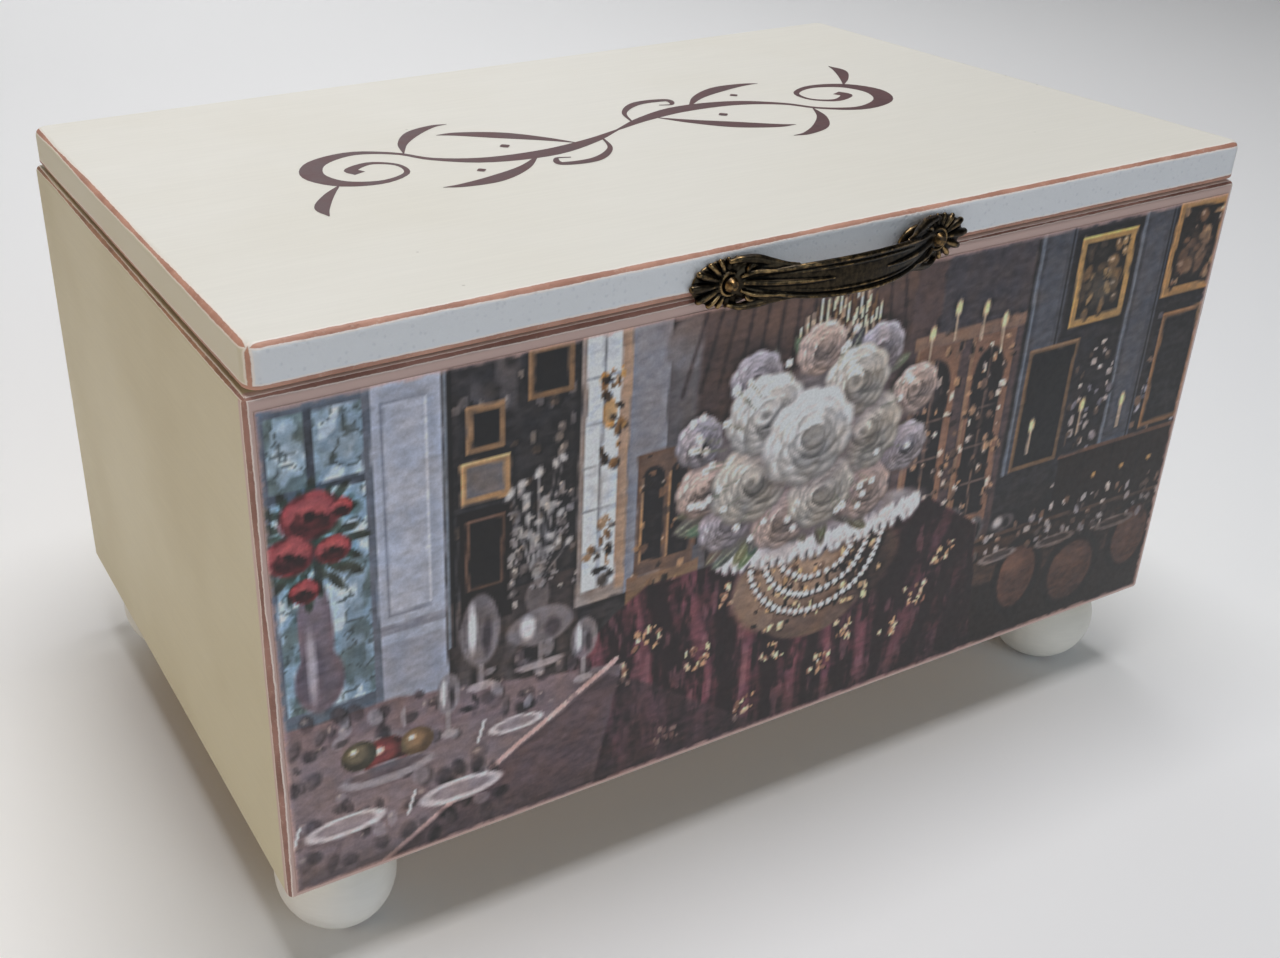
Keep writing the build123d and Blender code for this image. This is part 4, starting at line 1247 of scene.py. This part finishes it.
def strap_half_height(x):
    """Half the strap's height at x, in millimetres."""
    return 5.1 - 3.0 * min(1.0, abs(x) / strap_half) ** 2.6


hole_mm = hole_spacing / 2 / MM
reach_mm = fan_reach / MM
rise_mm = fan_half_height / MM
strap_half = hole_mm - 3.0
strap_crown = pull_projection / MM - 1.35
flutes = 11
for end in (-1, 1):
    centre = end * hole_mm
    inward = -end
    knob_of_metal(centre - inward * 0.6, 0.5, 0.0, reach_mm * 0.86, 1.3, rise_mm * 0.86)
    # the fan: flutes that widen outwards, all round the side away from the strap
    for flute in range(flutes):
        turn = radians(-112 + 224 * flute / (flutes - 1))
        along_x_mm = -inward * cos(turn)
        along_z_mm = sin(turn)
        outer = 1 / hypot(along_x_mm / (reach_mm - 0.9), along_z_mm / (rise_mm - 0.85))
        thick = 0.098 * outer
        spine = [
            (centre + d * along_x_mm, 1.9 - 0.45 * (d / outer) ** 2, d * along_z_mm, r)
            for d, r in (
                (2.6, 0.5 * thick),
                (0.55 * outer, 0.95 * thick),
                (0.84 * outer, 1.22 * thick),
                (outer, 0.95 * thick),
            )
        ]
        tube(spine)
        knob_of_metal(centre + outer * along_x_mm, 1.35, outer * along_z_mm, thick, thick, thick)
    # a raised collar round the pin
    for step in range(28):
        turn = 2 * pi * step / 28
        knob_of_metal(centre + 2.75 * cos(turn), 2.45, 2.75 * sin(turn), 0.5, 0.5, 0.5)
    knob_of_metal(centre, 1.5, 0.0, 2.7, 0.85, 2.7)
    knob_of_metal(centre + inward * 6.5, 2.2, 0.0, 6.5, 1.8, 5.0)
    knob_of_metal(centre + inward * 2.6, 1.3, 0.0, 6.0, 1.5, 5.7)
    # a long rib from the collar that sinks into the strap
    rib = []
    for along_rib, reach in ((3.2, 0.85), (8.0, 0.85), (13.0, 0.75), (18.5, 0.55), (24.0, 0.2)):
        x = centre + inward * along_rib
        rib.append((x, strap_out(x) + 0.7, 0.1, reach))
    tube(rib)
    for rise in (-1, 1):
        # outer leaf that rolls over the neck and runs on as the strap's edge
        roll = [
            (inward * -0.5, 2.2, 5.3, 0.45),
            (inward * 2.5, 3.1, 5.95, 0.95),
            (inward * 6.0, 3.9, 5.6, 1.25),
            (inward * 9.5, 5.4, 4.8, 1.0),
            (inward * 12.6, 7.2, 4.3, 0.6),
            (inward * 15.5, 8.3, 4.3, 0.2),
        ]
        tube([(centre + x, out, rise * z, reach) for x, out, z, reach in roll])
        # its curled tip
        curl = [
            (inward * 6.5, 4.4, 4.3, 0.4),
            (inward * 4.6, 4.2, 4.2, 0.6),
            (inward * 4.0, 3.9, 3.2, 0.6),
            (inward * 5.4, 4.0, 2.7, 0.5),
            (inward * 6.3, 4.2, 3.3, 0.4),
        ]
        tube([(centre + x, out, rise * z, reach) for x, out, z, reach in curl])
        # two slim leaves between the roll and the rib
        for shift, lower, reach in ((0.0, 3.3, 0.75), (-2.4, 2.3, 0.6)):
            leaf = [
                (inward * (4.6 + shift), 3.7, lower - 0.6, 0.35),
                (inward * (7.6 + shift), 4.9, lower + 0.5, reach),
                (inward * (11.0 + shift), 6.6, lower + 0.7, 0.8 * reach),
                (inward * (14.2 + shift), 7.9, lower + 0.8, 0.2),
            ]
            tube([(centre + x, out, rise * z, thick) for x, out, z, thick in leaf])

# the arched strap, with a round rib along each edge and a hollow between
strap_steps = 60
strap_sides = 24
strap_rings = []
for step in range(strap_steps + 1):
    x = strap_half * (2 * step / strap_steps - 1)
    slope = (strap_out(x + 0.05) - strap_out(x - 0.05)) / 0.1
    normal_x = -slope / hypot(slope, 1)
    normal_out = 1 / hypot(slope, 1)
    ring = []
    for side in range(strap_sides):
        turn = 2 * pi * side / strap_sides
        swell = 0.62 * sin(turn)
        skin_x = x + normal_x * swell
        out = strap_out(x) + normal_out * swell
        z = (strap_half_height(x) - 0.3) * cos(turn)
        ring.append(pull_form.verts.new(pull_point(skin_x * MM, out * MM, z * MM)))
    strap_rings.append(ring)
skin_over(strap_rings)
for rise in (-1, 1):
    for inset, reach, proud in ((0.75, 0.72, 0.35), (2.15, 0.38, 0.42)):
        edge_rib = []
        for step in range(-5, 6):
            x = step / 5 * (strap_half - 1.0 - 9.0 * (inset > 1))
            z = rise * (strap_half_height(x) - inset)
            edge_rib.append((x, strap_out(x) + proud, z, reach * (1 - 0.25 * (abs(step) / 5) ** 3)))
        tube(edge_rib)
bmesh.ops.recalc_face_normals(pull_form, faces=pull_form.faces)
pull_mesh = bpy.data.meshes.new("cast_pull")
pull_form.to_mesh(pull_mesh)
pull_form.free()
cast_pull = bpy.data.objects.new("cast_pull", pull_mesh)
bpy.context.collection.objects.link(cast_pull)


def apply_modifiers(piece):
    """Replace a piece's mesh by what its modifiers make of it."""
    bpy.context.view_layer.update()
    made = piece.evaluated_get(bpy.context.evaluated_depsgraph_get())
    result_mesh = bpy.data.meshes.new_from_object(made)
    piece.modifiers.clear()
    piece.data = result_mesh


skin = cast_pull.modifiers.new("one_casting", "REMESH")
skin.mode = "VOXEL"
skin.voxel_size = 0.20 * MM
soften = cast_pull.modifiers.new("cast_softness", "SMOOTH")
soften.factor = 0.5
soften.iterations = 2
apply_modifiers(cast_pull)

# nothing of the casting may reach into the lid edge or past the pull's own box
pull_mesh = cast_pull.data
count = len(pull_mesh.vertices)
spots = np.empty(count * 3)
pull_mesh.vertices.foreach_get("co", spots)
spots = spots.reshape(-1, 3)
spots = np.clip(spots, np.array(pull_low), np.array(pull_high))
pull_mesh.vertices.foreach_set("co", spots.ravel())
edges = np.empty(len(pull_mesh.edges) * 2, dtype=np.int64)
pull_mesh.edges.foreach_get("vertices", edges)
edges = edges.reshape(-1, 2)


def neighbour_mean(values):
    """Each vertex's mean over itself and its neighbours."""
    total = values.copy()
    share = np.ones(count)
    np.add.at(total, edges[:, 0], values[edges[:, 1]])
    np.add.at(total, edges[:, 1], values[edges[:, 0]])
    np.add.at(share, edges[:, 0], 1)
    np.add.at(share, edges[:, 1], 1)
    return total / share[:, None]


smoothed = spots.copy()
for _ in range(9):
    smoothed = neighbour_mean(smoothed)
normals = np.empty(count * 3)
pull_mesh.vertices.foreach_get("normal", normals)
normals = normals.reshape(-1, 3)
proud = np.sum((spots - smoothed) * normals, axis=1) / MM
rubbed = np.clip(0.5 + proud / 0.16, 0, 1)
high_spots = pull_mesh.attributes.new("high_spots", "FLOAT", "POINT")
high_spots.data.foreach_set("value", rubbed.astype(np.float32))
pull_mesh.polygons.foreach_set("use_smooth", [True] * len(pull_mesh.polygons))

bronze_material, tree, output = new_material("dark_bronzed_casting")
height = add(tree, "ShaderNodeAttribute", attribute_name="high_spots").outputs["Fac"]
wander = noise(tree, 700.0, 4.0, 0.6)
patch = noise(tree, 90.0, 3.0, 0.6)
level_here = math(tree, "ADD", height, product(tree, math(tree, "SUBTRACT", wander, 0.5), 0.5))
level_here = math(tree, "ADD", level_here, product(tree, math(tree, "SUBTRACT", patch, 0.5), 0.9))
brassy = span(tree, level_here, 0.86, 1.2)
recess = span(tree, level_here, 0.12, 0.5, 1.0, 0.0)
patina = mix(tree, span(tree, wander, 0.35, 0.7), colour(46, 41, 34), colour(72, 62, 48))
patina = mix(tree, recess, patina, colour(15, 14, 13))
finish = mix(tree, product(tree, brassy, 0.75), patina, colour(182, 150, 102))
rough = math(tree, "MULTIPLY_ADD", brassy, -0.16, span(tree, wander, 0.3, 0.7, 0.32, 0.46))
grain = noise(tree, 2600.0, 3.0, 0.6)
bump = bumped(tree, grain, 0.25, 0.00006)
surface(tree, output, finish, rough, bump, metallic=1.0)
cast_pull.data.materials.clear()
cast_pull.data.materials.append(bronze_material)
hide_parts("lid_handle")
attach(cast_pull, "lid")

# The two round-headed pins that hold the pull are bronzed with it and rubbed on their heads.
pin_material, tree, output = new_material("rubbed_bronze_pins")
wander = noise(tree, 900.0, 4.0, 0.6)
pin_metal = mix(tree, span(tree, wander, 0.4, 0.62), colour(66, 56, 46), colour(150, 120, 78))
pin_rough = span(tree, wander, 0.3, 0.7, 0.45, 0.3)
pin_bump = bumped(tree, wander, 0.2, 0.00006)
surface(tree, output, pin_metal, pin_rough, pin_bump, metallic=1.0)
dress("handle_pins", pin_material)


# ---- Felt on the case floor ------------------------------------------------------------------
# One sheet of wine-coloured wool felt, cut to the case's inside and stuck down here and there,
# so that it lies almost flat, a little puckered between.
def laid_felt(name, lows_and_highs, cell, rise, seed):
    """Felt rectangles in one mesh, each a thin slab with rounded edges and a slightly wavy top."""
    vertices, faces = [], []
    for patch, (low, high) in enumerate(lows_and_highs):
        wide, deep, thick = (high[axis] - low[axis] for axis in range(3))
        columns = max(8, int(wide / cell))
        rows_here = max(8, int(deep / cell))
        first = len(vertices)
        for face_side in (1, 0):
            for row in range(rows_here + 1):
                for column in range(columns + 1):
                    u = column / columns
                    v = row / rows_here
                    x = u * wide
                    y = v * deep
                    from_edge = min(x, wide - x, y, deep - y)
                    turn_down = 0.45 * thick * max(0.0, 1 - from_edge / (0.9 * thick)) ** 2
                    wave = sin(x * 95 + seed) * sin(y * 78 + 2.1 * seed)
                    wave += 0.6 * sin(x * 41 - y * 57 + seed + patch)
                    settle = min(1.0, from_edge / 0.012)
                    if face_side:
                        z = thick - turn_down - rise * (1 - 0.5 * (wave / 1.6 + 1) * settle)
                    else:
                        z = 0.35 * turn_down
                    vertices.append((low[0] + x, low[1] + y, low[2] + z))
        stride = columns + 1
        lower_start = first + stride * (rows_here + 1)
        for row in range(rows_here):
            for column in range(columns):
                a = first + row * stride + column
                faces.append((a, a + 1, a + stride + 1, a + stride))
                b = lower_start + row * stride + column
                faces.append((b, b + stride, b + stride + 1, b + 1))
        top_rim = [first + column for column in range(columns + 1)]
        top_rim += [first + row * stride + columns for row in range(1, rows_here + 1)]
        top_rim += [first + rows_here * stride + column for column in range(columns - 1, -1, -1)]
        top_rim += [first + row * stride for row in range(rows_here - 1, 0, -1)]
        shift = lower_start - first
        for here, following in zip(top_rim, top_rim[1:] + top_rim[:1]):
            faces.append((here, here + shift, following + shift, following))
    felt = mesh_piece(name, vertices, faces)
    felt.data.materials.append(wine_felt)
    return felt


floor_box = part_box("floor_pad")
floor_felt = laid_felt("case_floor_felt", [floor_box], 2.5 * MM, 0.25 * MM, 0.7)
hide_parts("floor_pad")
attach(floor_felt, "case")


# ---- Sliding tills ---------------------------------------------------------------------------
# Two trays with a bottom, four walls and dividers let in between them, all thin walnut-stained
# board, waxed, with the top edges eased. Each has a turned brass knob for pulling it along.
for till in ("upper_till", "lower_till"):
    for board in ("front_wall", "back_wall", "long_divider"):
        dress(f"{till}_{board}", waxed_x)
    for board in ("left_wall", "right_wall", "cross_divider"):
        dress(f"{till}_{board}", waxed_y)
    dress(f"{till}_bottom", waxed_x)

knob_material, tree, output = new_material("turned_brass_knob")
turning_lines = noise(tree, 2600.0, 2.0, 0.6, stretch=(1.0, 12.0, 12.0))
dull = span(tree, noise(tree, 220.0, 4.0, 0.6), 0.4, 0.7)
knob_metal = mix(tree, dull, colour(216, 176, 104), colour(170, 130, 72))
knob_rough = math(tree, "MULTIPLY_ADD", dull, 0.14, span(tree, turning_lines, 0.3, 0.7, 0.18, 0.28))
knob_bump = bumped(tree, turning_lines, 0.2, 0.00004)
surface(tree, output, knob_metal, knob_rough, knob_bump, metallic=1.0)
dress("upper_till_knob", knob_material)
dress("lower_till_knob", knob_material)


# ---- Felt in the tills -----------------------------------------------------------------------
# Each compartment has its own cut of the same felt, laid loose on the till's bottom.
for seed, till in enumerate(("upper_till", "lower_till")):
    front_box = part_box(f"{till}_front_pad")
    front_felt = laid_felt(f"{till}_front_felt", [front_box], 2.0 * MM, 0.2 * MM, 1.3 + seed)
    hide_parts(f"{till}_front_pad")
    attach(front_felt, till)

    back_low, back_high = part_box(f"{till}_back_pads")
    divider_low, divider_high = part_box(f"{till}_cross_divider")
    pad_gap = 0.4 * MM
    for side, (x0, x1) in (
        ("left", (back_low[0], divider_low[0] - pad_gap)),
        ("right", (divider_high[0] + pad_gap, back_high[0])),
    ):
        low = (x0, back_low[1], back_low[2])
        high = (x1, back_high[1], back_high[2])
        side_seed = 3.1 + seed + x0 * 9
        felt_name = f"{till}_back_{side}_felt"
        back_felt = laid_felt(felt_name, [(low, high)], 2.0 * MM, 0.2 * MM, side_seed)
        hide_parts(f"{till}_back_pads")
        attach(back_felt, till)


# ---- Ring rolls ------------------------------------------------------------------------------
# Foam rods covered in rose velvet, side by side on the upper till's front felt. Rings are pushed down
# between them. Each is a little flattened underneath and gathered at its ends.
rose_velvet = napped_cloth(
    "rose_velvet", colour(158, 78, 92), colour(206, 136, 146), 2400.0, 0.8, 0.0003
)
roll_low, roll_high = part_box("upper_till_ring_rolls")
roll_radius = (roll_high[2] - roll_low[2]) / 2
roll_pitch = 11.6 * MM
roll_count = round((roll_high[1] - roll_low[1] - 2 * roll_radius) / roll_pitch) + 1
roll_seed = np.random.default_rng(5)
for number in range(roll_count):
    centre_y = roll_low[1] + roll_radius + number * roll_pitch
    centre_z = (roll_low[2] + roll_high[2]) / 2
    steps_along = 96
    steps_round = 40
    phase = roll_seed.random() * 6
    vertices, faces = [], []
    length = roll_high[0] - roll_low[0]
    for along_step in range(steps_along + 1):
        spot = along_step / steps_along
        x = roll_low[0] + spot * length
        from_end = min(spot, 1 - spot) * length
        closing = sqrt(max(0.0, 1 - max(0.0, 1 - from_end / (0.75 * roll_radius)) ** 2))
        for side in range(steps_round):
            turn = 2 * pi * side / steps_round
            near_end = max(0.0, 1 - from_end / (1.6 * roll_radius))
            gather = 1 - 0.05 * (0.5 + 0.5 * cos(turn * 10 + phase)) * near_end
            sag = 1 - 0.018 * (1 + sin(spot * 19 + phase) * cos(2 * turn + phase))
            reach = roll_radius * (0.12 + 0.88 * closing) * gather * sag
            y = centre_y + reach * sin(turn)
            z = centre_z + reach * (cos(turn) if cos(turn) > 0 else 0.94 * cos(turn))
            vertices.append((x, y, z))
    for along_step in range(steps_along):
        for side in range(steps_round):
            a = along_step * steps_round + side
            b = along_step * steps_round + (side + 1) % steps_round
            faces.append((a, b, b + steps_round, a + steps_round))
    faces.append(tuple(range(steps_round))[::-1])
    faces.append(tuple(range(steps_along * steps_round, (steps_along + 1) * steps_round)))
    roll = mesh_piece(f"ring_roll_{number + 1}", vertices, faces)
    roll.data.materials.append(rose_velvet)
    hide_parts("upper_till_ring_rolls")
    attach(roll, "upper_till")
